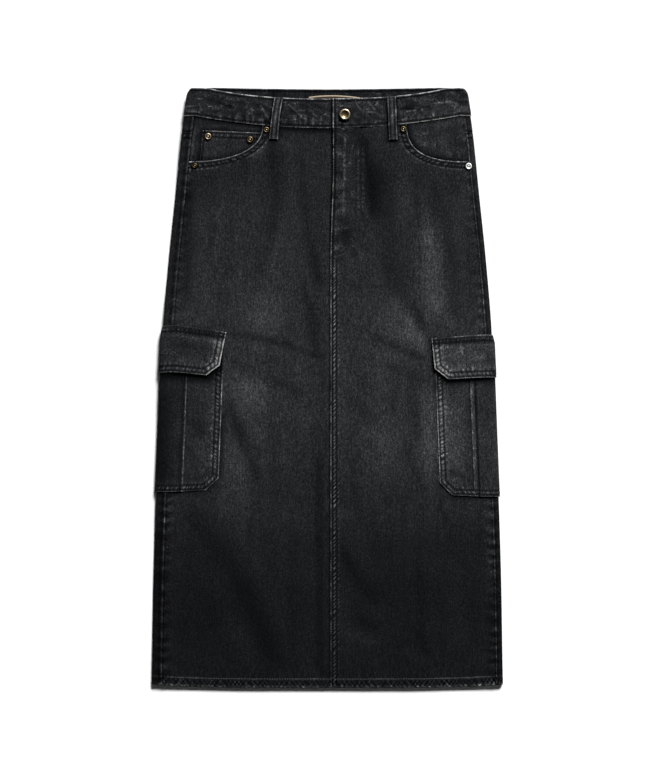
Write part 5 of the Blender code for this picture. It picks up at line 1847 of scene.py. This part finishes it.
# %% Label
label_cloth, node, shader = node_material("label_cloth")
checks = {"Scale": 2400, "Color1": (1.0, 1.0, 1.0, 1), "Color2": (0.70, 0.68, 0.64, 1)}
weave = node("TexChecker", {**checks, "Vector": node("TexCoord", {}, "Object")}, "Color")
border = node("Attribute", {}, "Fac", attribute_name="tone")
yarn = node("Mix", {0: border, 6: (0.034, 0.023, 0.014, 1), 7: (0.36, 0.305, 0.23, 1)}, 2, data_type="RGBA")
woven = node("Mix", {0: 1.0, 6: yarn, 7: weave}, 2, data_type="RGBA", blend_type="MULTIPLY")
bump = node("Bump", {"Strength": 0.3, "Distance": 0.0001, "Height": weave.node.outputs["Fac"]})
shader({"Base Color": woven, "Roughness": 0.8, "Specular IOR Level": 0.1, "Normal": bump})


def lay_label():
    """Its top edge bows a little, and carries a pale border."""
    inner, half = WAISTBAND_OUT - WAISTBAND_WALL - GAP, LABEL_WIDTH / 2
    columns = [LABEL_X + x for x in spread(-half, half, 60)]

    def lay(x, row):
        t = (x - LABEL_X) / half
        top = 0.0085 + 0.0027 * t * t + 0.0006 * t
        depth = top + (LABEL_DEPTH + LABEL_HEIGHT - top) * row
        edge = min(depth - top, (1 - row) * LABEL_HEIGHT, half - abs(x - LABEL_X))
        puff = 0.0002 * ease(0.0, 0.002, edge)
        return back(x, depth, inner - puff), 1 - ease(0.0012, 0.0017, depth - top), 1.0

    rows = spread(0, 0.10, 8) + spread(0.13, 1, 14)
    lay_cloth("label", True, columns, rows, lay, CLOTH, name="woven_label", finish=label_cloth)


lay_label()

# %% [markdown]
# ## A table of the pieces
#
# A table gives each piece's width and length of the cut, its area where it isn't a rectangle, and what it lies
# on. Then the finished box is printed, as the CAD box was at the start.

BACKS = ["denim_back_left", "denim_back_right"]
SHEETS = {  # width and length of the cut, its area where it isn't a rectangle, and what it lies on
    "denim_front_left": (0.223, 0.755, 0.152, BACKS),
    "denim_front_right": (0.236, 0.755, 0.156, BACKS),
    "denim_back_left": (0.247, 0.745, 0.170, ["table"]),
    "denim_back_right": (0.247, 0.745, 0.170, ["table"]),
    "denim_yoke_left": (0.205, 0.064, 0.0084, ["table"]),
    "denim_yoke_right": (0.205, 0.064, 0.0083, ["table"]),
    "denim_waistband": (0.785, 0.040, None, BACKS),
    "denim_pocket_facing_left": (0.102, 0.076, 0.0056, BACKS),
    "denim_pocket_facing_right": (0.116, 0.076, 0.0062, BACKS),
    "denim_coin_pocket": (0.092, 0.048, 0.0031, ["denim_pocket_facing_right"]),
    "denim_cargo_pocket_left": (0.138, 0.203, None, ["denim_front_left"]),
    "denim_cargo_pocket_right": (0.138, 0.209, None, ["denim_front_right"]),
    "denim_cargo_flap_left": (0.144, 0.058, None, ["denim_cargo_pocket_left"]),
    "denim_cargo_flap_right": (0.142, 0.063, None, ["denim_cargo_pocket_right"]),
    "denim_belt_loop_front_right": (0.0123, 0.057, None, ["denim_waistband"]),
    "denim_belt_loop_front_left": (0.0123, 0.057, None, ["denim_waistband"]),
    "denim_belt_loop_back_right": (0.0123, 0.050, None, ["denim_waistband"]),
    "denim_belt_loop_back_centre": (0.0123, 0.050, None, ["denim_waistband"]),
    "denim_belt_loop_back_left": (0.0123, 0.050, None, ["denim_waistband"]),
    "woven_label": (0.070, 0.026, None, ["denim_waistband"]),
}
for name, (width, length, area, under) in SHEETS.items():
    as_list(under)

# %% Print the finished box
visual_box = [list(corner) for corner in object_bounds()]
print("visual box in mm:", [[round(1000 * c, 1) for c in corner] for corner in visual_box])
